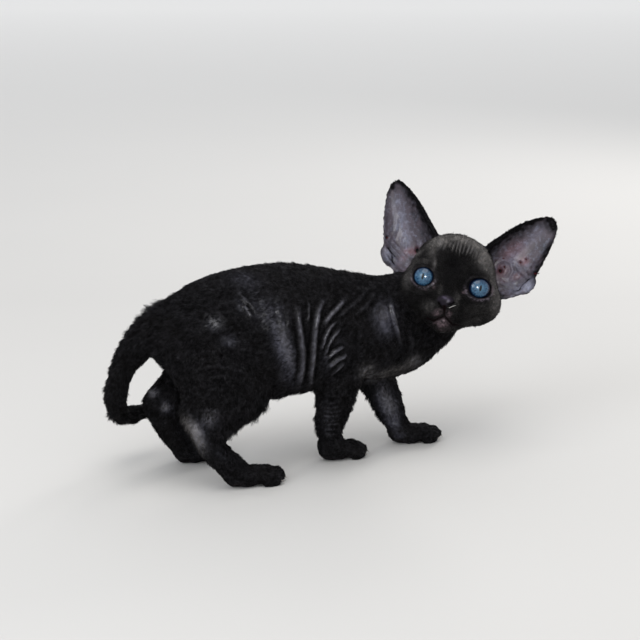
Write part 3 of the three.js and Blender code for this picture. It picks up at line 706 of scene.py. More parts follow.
PINK = [
    ((434, 287.5), (2.4, 1.6), 30, 0.4), ((464.5, 292), (2.6, 2.0), 0, 0.8),
    ((437.4, 312.6), (4.8, 3.2), -18, 0.85), ((448.6, 314.5), (3.4, 4.6), 25, 0.5),
    ((442, 323.4), (7.6, 4.4), 4, 0.65), ((493, 291), (1.8, 5), 0, 0.5), ((442.5, 330.5), (8, 3.4), 0, 0.3),
    ((443.4, 320.6), (2.4, 1.8), 30, 0.75), ((441, 324.6), (3.2, 2.2), 0, 0.4),
    ((482, 299.5), (8, 1.4), -8, 0.35), ((424, 289), (7, 1.3), 8, 0.3),
]
patches(pink, PINK, on_head)
BLACK = [
    ((453, 264), (11, 12), 8, 1.0), ((447, 284), (8, 12), 8, 0.9), ((438, 257), (3, 5), 0, 0.5),
    ((424, 266), (11, 3), 0, 0.5), ((477, 276), (13, 3.5), 4, 0.6), ((459, 284), (5, 9), 0, 0.7),
    ((428, 297), (12, 5), 12, 0.4), ((470, 302), (13, 3), 4, 0.5), ((460, 308), (4, 8), 0, 0.6),
    ((411, 302), (8, 14), 0, 0.3), ((427, 324), (9, 5), 30, 0.5), ((460, 322), (6, 6), 0, 0.6),
    ((496, 272), (3, 6), 20, 0.4),
]
patches(black, BLACK, on_head)
lid_rim = np.clip(lid * 1.3 - 0.3, 0, 1)
black = np.maximum(black, lid_rim * (1 - np.clip(lid_low * 1.5, 0, 0.7)))
# How far the dark edge reaches across each ear, and up to the tip: where it is none and where full.
EAR_BANDS = {"right": (0.08, 0.84, 0.88, 1.02, 36.5, 41.0), "left": (0.22, 0.88, 0.62, 0.95, 33.0, 40.0)}
inner_ear = np.zeros(len(V))
ear_dark = np.zeros(len(V))
for name in ("right", "left"):
    turned, at = ear_frame(name)
    local = (V - at) @ turned
    local[:, 1] *= EAR_PLACES[name][0]
    up = np.clip(local[:, 2] / 42, -0.25, 1)
    half = np.interp(up * 42, (-9, 5, 15, 25, 33.5, 38, 42), (12.5, 17, 14.7, 12, 8.6, 6, 1.8))
    middle = np.interp(up * 42, (-9, 5, 15, 42), (0.5, 2.4, 1.4, 0))
    middle -= EAR_BEND[name] * np.clip(up, 0, 1) ** 2.2
    across = (local[:, 1] - middle) / half
    ragged = 0.07 * ripples(local, 3.0, 11)
    inner_none, inner_full, outer_none, outer_full, tip_none, tip_full = EAR_BANDS[name]
    inside = np.clip((N @ turned[:, 0]) * 2.2 + 0.25, 0, 1) * np.clip((local[:, 2] + 9) / 5, 0, 1)
    inner_ear += share_of[f"ear_{name}"] * inside
    dark = np.clip((-across - inner_none + ragged) / (inner_full - inner_none), 0, 1) ** 1.3
    outer = np.clip((across - outer_none + 0.5 * ragged) / (outer_full - outer_none), 0, 1)
    dark = np.maximum(dark, outer * np.clip((local[:, 2] - 8) / 6, 0, 1))
    dark = np.maximum(dark, np.clip((local[:, 2] - tip_none + 12 * ragged) / (tip_full - tip_none), 0, 1))
    ear_dark += share_of[f"ear_{name}"] * dark
inner_ear = np.clip(inner_ear, 0, 1)
for _ in range(2):
    inner_ear = mean_of_near(inner_ear)
    ear_dark = mean_of_near(ear_dark)
# Painted highlights inside the ears: bluish-white sheen along the ridges of gristle and on the listed spots.
ear_highlight = ear_ridge * 0.6
ear_pink = np.zeros(len(V))
EAR_HIGHLIGHTS = [
    ((402, 226), (6, 17), -8, 0.85), ((406, 239), (4.5, 9), 0, 0.9), ((397, 206), (6, 11), 8, 0.35),
    ((389, 254), (6, 7), -50, 0.5), ((396, 261), (5, 4), 0, 0.4), ((513, 257), (9, 4), -30, 0.5),
    ((528, 243), (12, 3), -35, 0.4), ((538, 232), (9, 6), -40, 0.3), ((526, 287), (13, 5), -20, 1.0),
    ((533, 279), (4, 6), 0, 0.9), ((510, 280), (5, 8), 0, 0.5), ((520, 270), (9, 3), -25, 0.3),
    ((505, 264), (5, 4), 0, 0.4), ((519, 289), (10, 4), -20, 0.7), ((512, 262), (8, 6), -30, 0.45),
]
patches(ear_highlight, EAR_HIGHLIGHTS, on_ears)
EAR_PINK = [
    ((409, 251), (7, 4), 0, 0.7), ((417, 251), (4, 5), 0, 0.8), ((403, 258), (5, 3), 0, 0.4),
    ((503, 268), (8, 8), 0, 0.75), ((523, 261), (6, 5), 0, 0.75), ((514, 251), (13, 9), -30, 0.6),
    ((515, 277), (9, 4), -20, 0.5), ((507, 257), (4, 4), 0, 0.5), ((501, 279), (5, 5), 0, 0.4),
]
patches(ear_pink, EAR_PINK, np.clip(on_ears + on_head, 0, 1))
under = np.clip(-N[:, 2] * 3 - 1.6, 0, 1) * (V[:, 2] < 5) * share_of["paws"]

FIELDS = {
    "pale": pale, "pink": pink, "black": black, "shine": shine * off_head, "nose": nose, "nostril": nostril,
    "nose_highlight": nose_highlight, "mouth_line_and_shade": mouth_line_and_shade, "lid_low": lid_low, "inner_ear": inner_ear, "ear_dark": ear_dark,
    "ear_highlight": ear_highlight, "ear_pink": ear_pink, "canal_and_pit_shade": canal_and_pit_shade, "pad": under, "face": on_head,
}


def carry(mesh, name, values):
    """Gives the points of a mesh a value that its material can read."""
    attribute = mesh.attributes.new(name, "FLOAT", "POINT")
    attribute.data.foreach_set("value", values.astype(np.float32))


for name, field in FIELDS.items():
    carry(fused, name, np.clip(field, 0, 1))
attribute = fused.attributes.new("lie", "FLOAT_VECTOR", "POINT")
attribute.data.foreach_set("vector", lie.astype(np.float32).ravel())


class Wiring:
    """Small helper for laying out a material's nodes."""

    def __init__(self, name):
        self.material = bpy.data.materials.new(name)
        self.material.use_nodes = True
        self.nodes = self.material.node_tree.nodes
        self.links = self.material.node_tree.links
        self.shader = self.nodes["Principled BSDF"]

    def add(self, kind, **inputs):
        node = self.nodes.new(kind)
        for key, value in inputs.items():
            target = node.inputs[int(key[1:])] if key[0] == "i" and key[1:].isdigit() else node.inputs[key]
            self.put(target, value)
        return node

    def put(self, target, value):
        if isinstance(value, bpy.types.NodeSocket):
            self.links.new(value, target)
        else:
            target.default_value = value

    def give(self, name, value):
        """Sets one input of the shader itself."""
        self.put(self.shader.inputs[name], value)

    def field(self, name, output="Fac"):
        node = self.nodes.new("ShaderNodeAttribute")
        node.attribute_name = name
        return node.outputs[output]

    def math(self, operation, a, b=0.0, clamp=False):
        node = self.add("ShaderNodeMath", i0=a, i1=b)
        node.operation = operation
        node.use_clamp = clamp
        return node.outputs[0]

    def times(self, a, b, clamp=False):
        return self.math("MULTIPLY", a, b, clamp=clamp)

    def plus(self, a, b, clamp=False):
        return self.math("ADD", a, b, clamp=clamp)

    def minus(self, a, b, clamp=False):
        return self.math("SUBTRACT", a, b, clamp=clamp)

    def most(self, a, b, clamp=False):
        return self.math("MAXIMUM", a, b, clamp=clamp)

    def vector(self, operation, a, b=None, scale=None):
        node = self.nodes.new("ShaderNodeVectorMath")
        node.operation = operation
        self.put(node.inputs[0], a)
        if b is not None:
            self.put(node.inputs[1], b)
        if scale is not None:
            self.put(node.inputs["Scale"], scale)
        return node.outputs["Value" if operation == "DOT_PRODUCT" else "Vector"]

    def mix(self, share, a, b):
        node = self.nodes.new("ShaderNodeMix")
        node.data_type = "RGBA"
        self.put(node.inputs[0], share)
        self.put(node.inputs[6], a)
        self.put(node.inputs[7], b)
        return node.outputs[2]

    def laid_over(self, colour, coats):
        """A colour with others laid over it in turn, each by its share."""
        for share, coat in coats:
            colour = self.mix(share, colour, coat)
        return colour

    def noise(self, where, scale, detail=3.0, rough=0.55):
        node = self.add("ShaderNodeTexNoise", Vector=where, Scale=scale, Detail=detail, Roughness=rough)
        return node.outputs["Fac"]

    def ramp(self, value, low, high):
        node = self.add("ShaderNodeMapRange", Value=value)
        node.inputs["From Min"].default_value = low
        node.inputs["From Max"].default_value = high
        return node.outputs["Result"]

    def bump(self, height, distance, under=None):
        node = self.add("ShaderNodeBump", Height=height, Distance=distance)
        if under is not None:
            self.links.new(under, node.inputs["Normal"])
        return node.outputs["Normal"]


def rgb(*values):
    return (*values, 1.0)


FUR_BLACK = rgb(0.0028, 0.0026, 0.0030)
FUR_SOOT = rgb(0.0290, 0.0280, 0.0315)
FUR_RUSTY = rgb(0.0075, 0.0066, 0.0066)
FACE_BROWN = rgb(0.0115, 0.0108, 0.0102)
SKIN_GREY_AND_SHEEN = rgb(0.064, 0.064, 0.091)
BROW_GREY = rgb(0.185, 0.176, 0.178)
LIP_MAUVE = rgb(0.215, 0.148, 0.170)
EAR_MAUVE = rgb(0.104, 0.082, 0.101)
EAR_ASH = rgb(0.056, 0.053, 0.065)
EAR_SHEEN = rgb(0.26, 0.27, 0.36)
EAR_FLUSH = rgb(0.25, 0.115, 0.135)
CANAL_RED_AND_PIT_SHADE = rgb(0.060, 0.007, 0.010)
LID_LILAC = rgb(0.150, 0.125, 0.155)
NOSE_BLACK = rgb(0.0095, 0.0070, 0.0115)
NOSE_HIGHLIGHT_VIOLET = rgb(0.050, 0.041, 0.066)
MOUTH_SHADE = rgb(0.007, 0.0025, 0.003)
NOSTRIL_SHADE = rgb(0.003, 0.002, 0.002)
PAD_GREY = rgb(0.040, 0.032, 0.036)

hide = Wiring("skin_and_short_fur")
at = hide.add("ShaderNodeTexCoord").outputs["Object"]
way = hide.field("lie", "Vector")
along = hide.vector("DOT_PRODUCT", at, way)
drawn_out = hide.vector("SUBTRACT", at, hide.vector("SCALE", way, scale=hide.times(along, 0.86)))
strands = hide.noise(drawn_out, 2600.0, 2.0)
locks = hide.noise(drawn_out, 700.0, 3.0)
mottle = hide.noise(at, 130.0, 4.0, 0.6)
broad = hide.noise(at, 42.0, 3.0, 0.55)
pores = hide.noise(at, 1500.0, 2.0)
speckle = hide.noise(at, 520.0, 2.0, 0.6)
dapple = hide.noise(at, 900.0, 3.0, 0.6)
broken = hide.times(hide.ramp(mottle, 0.25, 0.6), hide.ramp(speckle, 0.3, 0.62))
bare_and_sheen = hide.times(hide.field("shine"), hide.plus(0.35, hide.times(broken, 0.7)), clamp=True)
streaky = hide.plus(hide.times(mottle, 0.5), hide.times(locks, 0.5))
ear_black = hide.plus(hide.field("ear_dark"), hide.times(hide.minus(streaky, 0.5), 0.7), clamp=True)
ear_black = hide.times(hide.ramp(ear_black, 0.08, 0.85), 0.97)
ear_colour = hide.laid_over(hide.mix(hide.ramp(mottle, 0.35, 0.7), EAR_MAUVE, EAR_ASH), [
    (hide.times(hide.field("ear_pink"), hide.ramp(mottle, 0.2, 0.6)), EAR_FLUSH),
    # Painted sheen: the highlights of the ridges and spots, and a speckle of it at random.
    (hide.times(hide.field("ear_highlight"), hide.ramp(streaky, 0.3, 0.65)), EAR_SHEEN),
    (hide.times(hide.ramp(speckle, 0.5, 0.72), 0.4), EAR_SHEEN),
    (hide.times(hide.ramp(speckle, 0.5, 0.3), 0.3), EAR_ASH),
])
hide.give("Base Color", hide.laid_over(FUR_BLACK, [
    (hide.times(hide.ramp(broad, 0.42, 0.72), 0.8), FUR_RUSTY),
    (hide.times(hide.ramp(speckle, 0.45, 0.75), 0.6), FUR_SOOT),
    (hide.times(hide.field("face"), 0.55), FACE_BROWN),
    # Grey where the skin shows: partly its own colour, partly painted sheen.
    (hide.times(bare_and_sheen, 0.9), SKIN_GREY_AND_SHEEN),
    (hide.times(hide.field("pale"), hide.ramp(streaky, 0.3, 0.6), clamp=True), BROW_GREY),
    # Black marks, and painted shade in the fold hollows.
    (hide.times(hide.field("black"), 0.9), FUR_BLACK),
    (hide.field("inner_ear"), ear_colour),
    (hide.times(ear_black, hide.field("inner_ear")), FUR_BLACK),
    # Dark red in the ear pits: the canal's red, with painted shade.
    (hide.ramp(hide.field("canal_and_pit_shade"), 0.3, 0.8), CANAL_RED_AND_PIT_SHADE),
    (hide.times(hide.field("pink"), hide.ramp(dapple, 0.3, 0.62)), LIP_MAUVE),
    (hide.times(hide.field("lid_low"), hide.ramp(speckle, 0.2, 0.6)), LID_LILAC),
    (hide.ramp(hide.field("nose"), 0.2, 0.55), NOSE_BLACK),
    (hide.field("nose_highlight"), NOSE_HIGHLIGHT_VIOLET),
    (hide.ramp(hide.field("mouth_line_and_shade"), 0.4, 0.8), MOUTH_SHADE),
    (hide.ramp(hide.field("nostril"), 0.35, 0.8), NOSTRIL_SHADE),
    (hide.field("pad"), PAD_GREY),
]))
ear_bare = hide.times(hide.field("inner_ear"), hide.minus(0.4, hide.times(ear_black, 0.4)))
smooth_skin = hide.most(bare_and_sheen, ear_bare)
wet = hide.most(hide.times(hide.field("nose"), 0.14), hide.times(hide.field("pink"), 0.35))
wet = hide.times(wet, hide.minus(1.0, hide.field("nostril")))
wet = hide.most(wet, hide.times(hide.field("lid_low"), 0.3))
rough = hide.minus(0.66, hide.times(smooth_skin, 0.2))
furry = hide.minus(1.0, hide.most(smooth_skin, hide.field("nose")), clamp=True)
grain = hide.bump(hide.times(strands, furry), 0.00022)
grain = hide.bump(hide.times(locks, furry), 0.00055, grain)
hide.give("Normal", hide.bump(pores, 0.00008, grain))
hide.give("Roughness", hide.plus(rough, hide.times(hide.minus(locks, 0.5), 0.25), clamp=True))
hide.give("Specular IOR Level", 0.04)
hide.give("Coat Weight", hide.most(hide.times(smooth_skin, 0.75), wet, clamp=True))
hide.give("Coat Roughness", 0.34)
hide.give("Coat IOR", 1.45)
fused.materials.clear()
fused.materials.append(hide.material)
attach(skin, "root")
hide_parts(*FLESH)

# The eyes: wet globes, pale steel-blue with a navy rim to the iris and a small upright pupil. The clear
# dome in front stands a little proud of the globe, as in life.
EYE_DOME = 0.35


def set_in_place(name, mesh, finish):
    """Makes a mesh into a piece of the body, with its finish."""
    made = bpy.data.objects.new(name, mesh)
    bpy.context.scene.collection.objects.link(made)
    mesh.materials.append(finish)
    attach(made, "root")
    return made


def mesh_of(name, points, faces, smooth=True):
    mesh = bpy.data.meshes.new(name)
    mesh.from_pydata((np.array(points) * MM).tolist(), [], faces)
    mesh.polygons.foreach_set("use_smooth", np.full(len(mesh.polygons), smooth))
    return mesh


def eyeball(name, side):
    rings, spokes = 72, 72
    rows = []
    for i in range(rings + 1):
        angle = math.pi * i / rings
        radius = EYE_RADIUS + EYE_DOME * max(math.cos(angle), 0) ** 4
        for j in range(spokes):
            turn = 2 * math.pi * j / spokes
            off = radius * math.sin(angle)
            rows.append((radius * math.cos(angle), off * math.cos(turn), off * math.sin(turn)))
    mesh = mesh_of(name, from_eye(rows, side), tube_faces(0, rings + 1, spokes))
    weld = bmesh.new()
    weld.from_mesh(mesh)
    layer = weld.verts.layers.float_vector.new("on_eye")
    weld.verts.ensure_lookup_table()
    for vert, row in zip(weld.verts, rows):
        vert[layer] = row
    bmesh.ops.remove_doubles(weld, verts=weld.verts, dist=1e-7)
    bmesh.ops.recalc_face_normals(weld, faces=weld.faces)
    weld.to_mesh(mesh)
    weld.free()
    return mesh


IRIS_NAVY, IRIS_STEEL = rgb(0.006, 0.030, 0.075), rgb(0.050, 0.130, 0.220)
IRIS_FLECK, IRIS_HEART = rgb(0.058, 0.135, 0.220), rgb(0.084, 0.175, 0.250)
LID_SHADE, IRIS_EDGE = rgb(0.005, 0.015, 0.038), rgb(0.003, 0.006, 0.022)
ROUND_IRIS, PUPIL_BLACK = rgb(0.030, 0.026, 0.034), rgb(0.002, 0.002, 0.003)
PUPIL_WIDE, PUPIL_HIGH = 0.62, 1.55
EDGE_FROM, EDGE_FULL, ROUND_FROM, ROUND_FULL = 4.2, 4.9, 5.4, 5.8  # out from the middle of the iris
globe = Wiring("wet_blue_iris")
on_eye = globe.field("on_eye", "Vector")
spot = globe.add("ShaderNodeSeparateXYZ", Vector=on_eye)
across, up = spot.outputs["Y"], spot.outputs["Z"]
out = globe.math("SQRT", globe.plus(globe.times(across, across), globe.times(up, up)))
round_way = globe.vector("NORMALIZE", globe.add("ShaderNodeCombineXYZ", Y=across, Z=up).outputs[0])
spoke_at = globe.add("ShaderNodeCombineXYZ", X=globe.times(out, 0.12))
fibres = globe.noise(globe.vector("ADD", round_way, spoke_at.outputs[0]), 9.0, 4.0, 0.6)
flecks = globe.noise(on_eye, 1.4, 2.0)
slit_across, slit_up = globe.math("DIVIDE", across, PUPIL_WIDE), globe.math("DIVIDE", up, PUPIL_HIGH)
slit = globe.plus(globe.math("POWER", slit_across, 2.0), globe.math("POWER", slit_up, 2.0))
globe.give("Base Color", globe.laid_over(IRIS_NAVY, [
    (globe.ramp(fibres, 0.40, 0.60), IRIS_STEEL),
    (globe.times(globe.ramp(flecks, 0.5, 0.75), 0.4), IRIS_FLECK),
    (globe.times(globe.ramp(out, 2.8, 1.0), 0.5), IRIS_HEART),
    (globe.times(globe.ramp(up, 1.0, 4.0), 0.75), LID_SHADE),
    (globe.ramp(out, EDGE_FROM, EDGE_FULL), IRIS_EDGE),
    (globe.ramp(out, ROUND_FROM, ROUND_FULL), ROUND_IRIS),
    (globe.ramp(slit, 1.5, 0.7), PUPIL_BLACK),
]))
globe.give("Roughness", 0.35)
globe.give("Coat Weight", 1.0)
globe.give("Coat Roughness", 0.03)
globe.give("Coat IOR", 1.34)
globe.give("Specular IOR Level", 0.1)
for name, side in (("right", -1), ("left", 1)):
    ball = eyeball(f"eyeball_{name}", side)
    eye = set_in_place(f"eyeball_{name}", ball, globe.material)
    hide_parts(f"eye_{name}")

# Claws: small curved cones of pale horn, one to each toe, half sunk in the fur of its tip. Each paw has its
# place, turn, length and width here, and the tips of its toes are given as shares of length and width.
PAW_PLACES = [
    ((4, -4.5), 2, 27, 16), ((49.5, 5.5), -5, 29, 16.5), ((-54.5, -20.5), -2, 32, 17),
    ((-69.5, 20), 2, 30, 17),
]
TOE_TIPS = [(0.88, -0.37), (0.98, -0.13), (0.98, 0.13), (0.88, 0.37)]
CLAW_LONG, CLAW_HIGH, CLAW_DROP, CLAW_THICK = 2.4, 2.6, 1.5, 0.42
claw_points, claw_faces = [], []
for (x, y), turn, long, wide in PAW_PLACES:
    x, y = x + MIDDLE[0], y + MIDDLE[1]
    c, s = math.cos(math.radians(turn)), math.sin(math.radians(turn))
    for forward, side in TOE_TIPS:
        rings, around = 7, 8
        first = len(claw_points)
        for i in range(rings):
            t = i / (rings - 1)
            px = long * forward - CLAW_LONG / 2 + CLAW_LONG * t
            pz = CLAW_HIGH - CLAW_DROP * t * t
            radius = CLAW_THICK * (1 - t) ** 0.7 + 0.03
            for j in range(around):
                angle = 2 * math.pi * j / around
                lx, ly, lz = px, wide * side + 0.7 * radius * math.cos(angle), pz + radius * math.sin(angle)
                claw_points.append((x + lx * c - ly * s, y + lx * s + ly * c, max(lz, 0.1)))
        claw_faces += tube_faces(first, rings, around)
        claw_faces.append(tuple(first + j for j in reversed(range(around))))
        claw_faces.append(tuple(first + (rings - 1) * around + j for j in range(around)))

HORN_DULL, HORN_PALE = rgb(0.30, 0.26, 0.24), rgb(0.46, 0.42, 0.39)
horn = Wiring("pale_horn")
layers = horn.noise(horn.add("ShaderNodeTexCoord").outputs["Object"], 1800.0, 2.0)
horn.give("Base Color", horn.mix(layers, HORN_DULL, HORN_PALE))
horn.give("Normal", horn.bump(layers, 0.00005))
horn.give("Roughness", 0.3)
set_in_place("claws", mesh_of("claws", claw_points, claw_faces), horn.material)

# The coat: very short down with hardly a guard hair, in fine tufts that lie back over the skin. It is
# longest at the nape, the root of the tail and under the thigh, and smallest on the face and feet. Each tuft
# is a thin closed blade of hairs with its root sunk in the skin.
seed = np.random.default_rng(7)
fused.calc_loop_triangles()
corners = np.empty(len(fused.loop_triangles) * 3, np.int32)
fused.loop_triangles.foreach_get("vertices", corners)
corners = corners.reshape(-1, 3)
first, second, third = (V[corners[:, i]] for i in range(3))
areas = 0.5 * lengths_of(np.cross(second - first, third - first))
bare_ear = inner_ear * (1 - 0.9 * np.clip(ear_dark * 3 - 2, 0, 1))
bare_skin = np.clip(shine * off_head, 0, 0.8)
cover = (1 - bare_skin) * (1 - bare_ear) * (1 - np.clip(nose * 2, 0, 1)) * (1 - lid_rim) * (1 - under)
cover *= (1 - np.clip(mouth_line_and_shade * 1.5, 0, 1)) * (1 - 0.92 * np.clip(pink * 1.3, 0, 1))
cover *= (1 - 0.2 * pale) * (1 - canal_and_pit_shade)
for side in (-1, 1):
    at_eye = to_eye(V, side)
    oval = np.hypot(at_eye[:, 1] / (EYE_WIDE[side] + 0.9), at_eye[:, 2] / (EYE_HIGH[side] + 0.8))
    cover *= np.where((at_eye[:, 0] > -4) & (oval < 1.0), 0.0, 1.0)
    cover *= np.where(lengths_of(at_eye) < EYE_RADIUS + 0.3, 0.0, 1.0)
# Lines in the photo along which the coat is longer, with how far it is so to each side, and how much.
SHAGGY = [
    ([(222, 434), (240, 427), (256, 415), (270, 405), (282, 398)], 6, 1.0),
    ([(284, 397), (302, 392), (318, 388)], 4, 0.3),
    ([(112, 345), (126, 326), (140, 313), (154, 304), (170, 295)], 8, 1.0),
    ([(350, 268), (362, 270), (374, 269), (384, 264)], 7, 1.0),
    ([(361, 386), (368, 400), (374, 414), (383, 428)], 5, 0.8),
    ([(319, 390), (319, 410), (319, 432)], 4, 0.55), ([(356, 384), (353, 402), (348, 424)], 5, 0.6),
    ([(105, 400), (107, 372), (114, 345)], 5, 0.5), ([(110, 416), (122, 424), (136, 421)], 5, 0.5),
    ([(148, 340), (158, 352), (167, 368)], 5, 0.35), ([(178, 398), (182, 414), (190, 432)], 5, 0.5),
    ([(228, 440), (240, 452), (252, 462)], 4, 0.4), ([(150, 410), (160, 430), (176, 450)], 4, 0.4),
    ([(430, 336), (446, 340), (462, 334)], 6, 0.4),
]
shaggy = np.zeros(len(V))
for line, width, amount in SHAGGY:
    off = beside(PX, line)[0]
    shaggy = np.maximum(shaggy, amount * np.exp(-((off / width) ** 2)) * off_head)
rump = np.exp(-(((V[:, 0] + 92) / 16) ** 2 + ((V[:, 2] - 88) / 16) ** 2)) * off_head
belly = np.clip(-N[:, 2] * 1.5 - 0.3, 0, 1) * on_trunk
# How long the tufts are, in millimetres, and how far they stand off the skin, as a share of that.
length = 1.9 + 0.9 * shaggy + 0.5 * rump + 0.2 * belly + 0.3 * share_of["tail"]
length *= 1 - 0.32 * on_head - 0.4 * share_of["paws"] - 0.5 * on_ears
stand_off = 0.30 + 0.36 * shaggy + 0.1 * rump + 0.1 * on_head - 0.08 * on_ears
home_region = belongs[corners].mean(axis=1).argmax(axis=1)


def unwrap(region):
    """Unrolls one part of the body like a sleeve: how far along its own length, and how far round it."""
    own = V[nearest == region]
    middle = own.mean(axis=0)
    axes = np.linalg.svd((own - middle)[:: max(1, len(own) // 4000)], full_matrices=False)[2]
    spread = (own - middle) @ axes[0]
    return middle, axes, spread.min(), spread.max()


# A plain tuft has three sides and a point, and a long one has a bend halfway as well. Each has a small patch
# of the map for colours.
TUFT_HALF, ROOT_SUNK, ROOT_BACK = (0.07, 0.13), 0.15, 0.1
TUFT_ON_MAP = 0.003
PLAIN_FACES = np.array([(0, 2, 1), (0, 1, 3), (1, 2, 3), (2, 0, 3)])
PLAIN_PATCH = TUFT_ON_MAP * np.array([(0, 0), (1, 0), (0.5, 0.3), (0.5, 1)])
BENT_FACES = np.array([
    (0, 2, 1), (0, 1, 4), (0, 4, 3), (1, 2, 5), (1, 5, 4), (2, 0, 3), (2, 3, 5), (3, 4, 6), (4, 5, 6),
    (5, 3, 6),
])
BENT_PATCH = TUFT_ON_MAP * np.array([
    (0, 0), (1, 0), (0.5, 0.2), (0.1, 0.5), (0.9, 0.5), (0.5, 0.6), (0.5, 1),
])


def grow(name, regions, number, finish, bent=False, where=None, in_lock=13, gather=0.5):
    """One piece of the coat: tufts rooted at random, whose tips gather into small locks."""
    density = areas * cover[corners].mean(axis=1)
    density *= np.isin(home_region, [region_names.index(region) for region in regions])
    if where is not None:
        density = density * where[corners].mean(axis=1)
    chosen = seed.choice(len(corners), number, p=density / density.sum())
    weight = seed.dirichlet((1, 1, 1), number)
    tri = corners[chosen]

    def spread(values):
        return np.einsum("ij,ij...->i...", weight, values[tri])

    root, out, way = spread(V), spread(N), spread(lie)
    out = at_length_one(out)
    side = at_length_one(np.cross(out, way))
    yaw = (seed.normal(0, 0.2, number) + 0.3 * ripples(root, 7.0, 5))[:, None]
    way = np.cos(yaw) * np.cross(side, out) + np.sin(yaw) * side
    side = np.cross(out, way)
    reach = (spread(length) * seed.uniform(0.65, 1.25, number) * (1.1 if bent else 1.0))[:, None]
    up = (spread(stand_off) * seed.uniform(0.5, 1.5, number) * (1 + 0.35 * ripples(root, 4.0, 6)))[:, None]
    leaders = seed.choice(number, number // in_lock, replace=False)
    near_leader = KDTree(len(leaders))
    for order, leader in enumerate(leaders):
        near_leader.insert(root[leader], order)
    near_leader.balance()
    lock = np.array([near_leader.find(place)[1] for place in root])
    leader = leaders[lock]
    half = (seed.uniform(*TUFT_HALF, number) * (1.25 if bent else 1.0))[:, None]
    foot = root - out * ROOT_SUNK - way * ROOT_BACK
    if bent:
        curl = (seed.normal(0, 0.14, number))[:, None]
        knee = root + way * reach * 0.5 + out * (reach * up * 0.62 + 0.1) + side * reach * curl * 0.6
        tip = root + way * reach + out * (reach * up * 0.85 + 0.05) - side * reach * curl
        tip = tip + gather * (tip[leader] - tip)
        points = [
            foot - side * half, foot + side * half, foot + out * half * 1.3,
            knee - side * half * 0.75, knee + side * half * 0.75, knee + out * half * 0.8, tip,
        ]
        pattern, shape, rise = BENT_FACES, BENT_PATCH, (0, 0, 0, 0.5, 0.5, 0.5, 1)
    else:
        tip = root + way * reach + out * (reach * up + 0.08)
        tip = tip + gather * (tip[leader] - tip)
        points = [foot - side * half, foot + side * half, foot + out * half * 1.6, tip]
        pattern, shape, rise = PLAIN_FACES, PLAIN_PATCH, (0, 0, 0, 1)
    points = np.stack(points, axis=1)
    points[:, :, 2] = np.maximum(points[:, :, 2], 0.03)
    each = points.shape[1]
    faces = (pattern[None] + each * np.arange(number)[:, None, None]).reshape(-1, 3)
    mesh = bpy.data.meshes.new(name)
    mesh.vertices.add(each * number)
    mesh.vertices.foreach_set("co", (points * MM).astype(np.float32).ravel())
    mesh.loops.add(faces.size)
    mesh.loops.foreach_set("vertex_index", faces.astype(np.int32).ravel())
    mesh.polygons.add(len(faces))
    mesh.polygons.foreach_set("loop_start", np.arange(0, faces.size, 3, dtype=np.int32))
    mesh.update(calc_edges=True)
    mesh.polygons.foreach_set("use_smooth", np.ones(len(faces), bool))
    # On the map for colours each tuft's patch lies at its root's place on the unrolled skin.
    home = np.zeros((number, 2))
    part = home_region[chosen]
    for cell, region in enumerate(regions):
        own = part == region_names.index(region)
        middle, axes, low, high = unwrap(region_names.index(region))
        along, over, out_by = ((root[own] - middle) @ axis for axis in axes)
        around = np.arctan2(over, out_by) / (2 * math.pi) + 0.5
        onward = np.clip((along - low) / (high - low), 0, 1)
        home[own] = np.stack(((cell + 0.02 + 0.95 * around) / len(regions), 0.01 + 0.975 * onward), axis=1)
    uv = (home[:, None, :] + shape[None]).reshape(-1, 2)
    layer = mesh.uv_layers.new(name="OFBake")
    layer.data.foreach_set("uv", uv[faces.ravel()].astype(np.float32).ravel())
    for field, values in (("shine", shine * off_head), ("pale", pale), ("black", black), ("face", on_head)):
        carry(mesh, field, np.repeat(spread(values), each))
    lock_shade = 0.85 * seed.random(len(leaders))[lock] ** 3 + 0.15 * seed.random(number)
    lock_shade += 0.13 * ripples(root, 4.5, 9) + 0.07 * ripples(root, 15.0, 12)
    carry(mesh, "shade", np.repeat(np.clip(lock_shade, 0, 1), each))
    carry(mesh, "tipward", np.tile(rise, number))
    set_in_place(name, mesh, finish)


DOWN_ON_BARE_AND_SHEEN = rgb(0.038, 0.038, 0.053)
DOWN_ON_FACE = rgb(0.0170, 0.0160, 0.0145)
DOWN_PALE = rgb(0.215, 0.200, 0.190)
DOWN_TIP = rgb(0.024, 0.021, 0.021)

down = Wiring("black_down")
where_in_coat = down.add("ShaderNodeTexCoord").outputs["Object"]
down_speckle = down.noise(where_in_coat, 520.0, 2.0, 0.6)
down_broad = down.noise(where_in_coat, 42.0, 3.0, 0.55)
uneven = down.plus(0.45, down.times(down.field("shade"), 1.1))
down.give("Base Color", down.laid_over(FUR_BLACK, [
    (down.times(down.ramp(down_broad, 0.42, 0.72), 0.8), FUR_RUSTY),
    (down.times(down.ramp(down_speckle, 0.45, 0.75), 0.5), FUR_SOOT),
    (down.times(down.field("shade"), 0.9), FUR_SOOT),
    (down.times(down.field("face"), down.times(uneven, 0.45)), DOWN_ON_FACE),
    # Lighter bluish tufts over the glossy places: painted sheen.
    (down.times(down.field("shine"), down.times(uneven, 0.55), clamp=True), DOWN_ON_BARE_AND_SHEEN),
    (down.times(down.field("pale"), uneven, clamp=True), DOWN_PALE),
    # On the tufts too: black marks, and painted shade in the fold hollows.
    (down.times(down.field("black"), 0.92), FUR_BLACK),
    (down.times(down.field("tipward"), 0.12), DOWN_TIP),
]))
down.give("Roughness", 0.42)
down.give("Specular IOR Level", 0.04)
ahead = np.clip((V[:, 0] + 22) / 4, 0, 1)
long_coat = np.clip(shaggy + 0.4 * rump + 0.03 * belly, 0, 1)
grow("coat_face", ("head",), 44000, down.material, in_lock=9, gather=0.45)
grow("coat_ears", ("ear_right", "ear_left"), 22000, down.material)
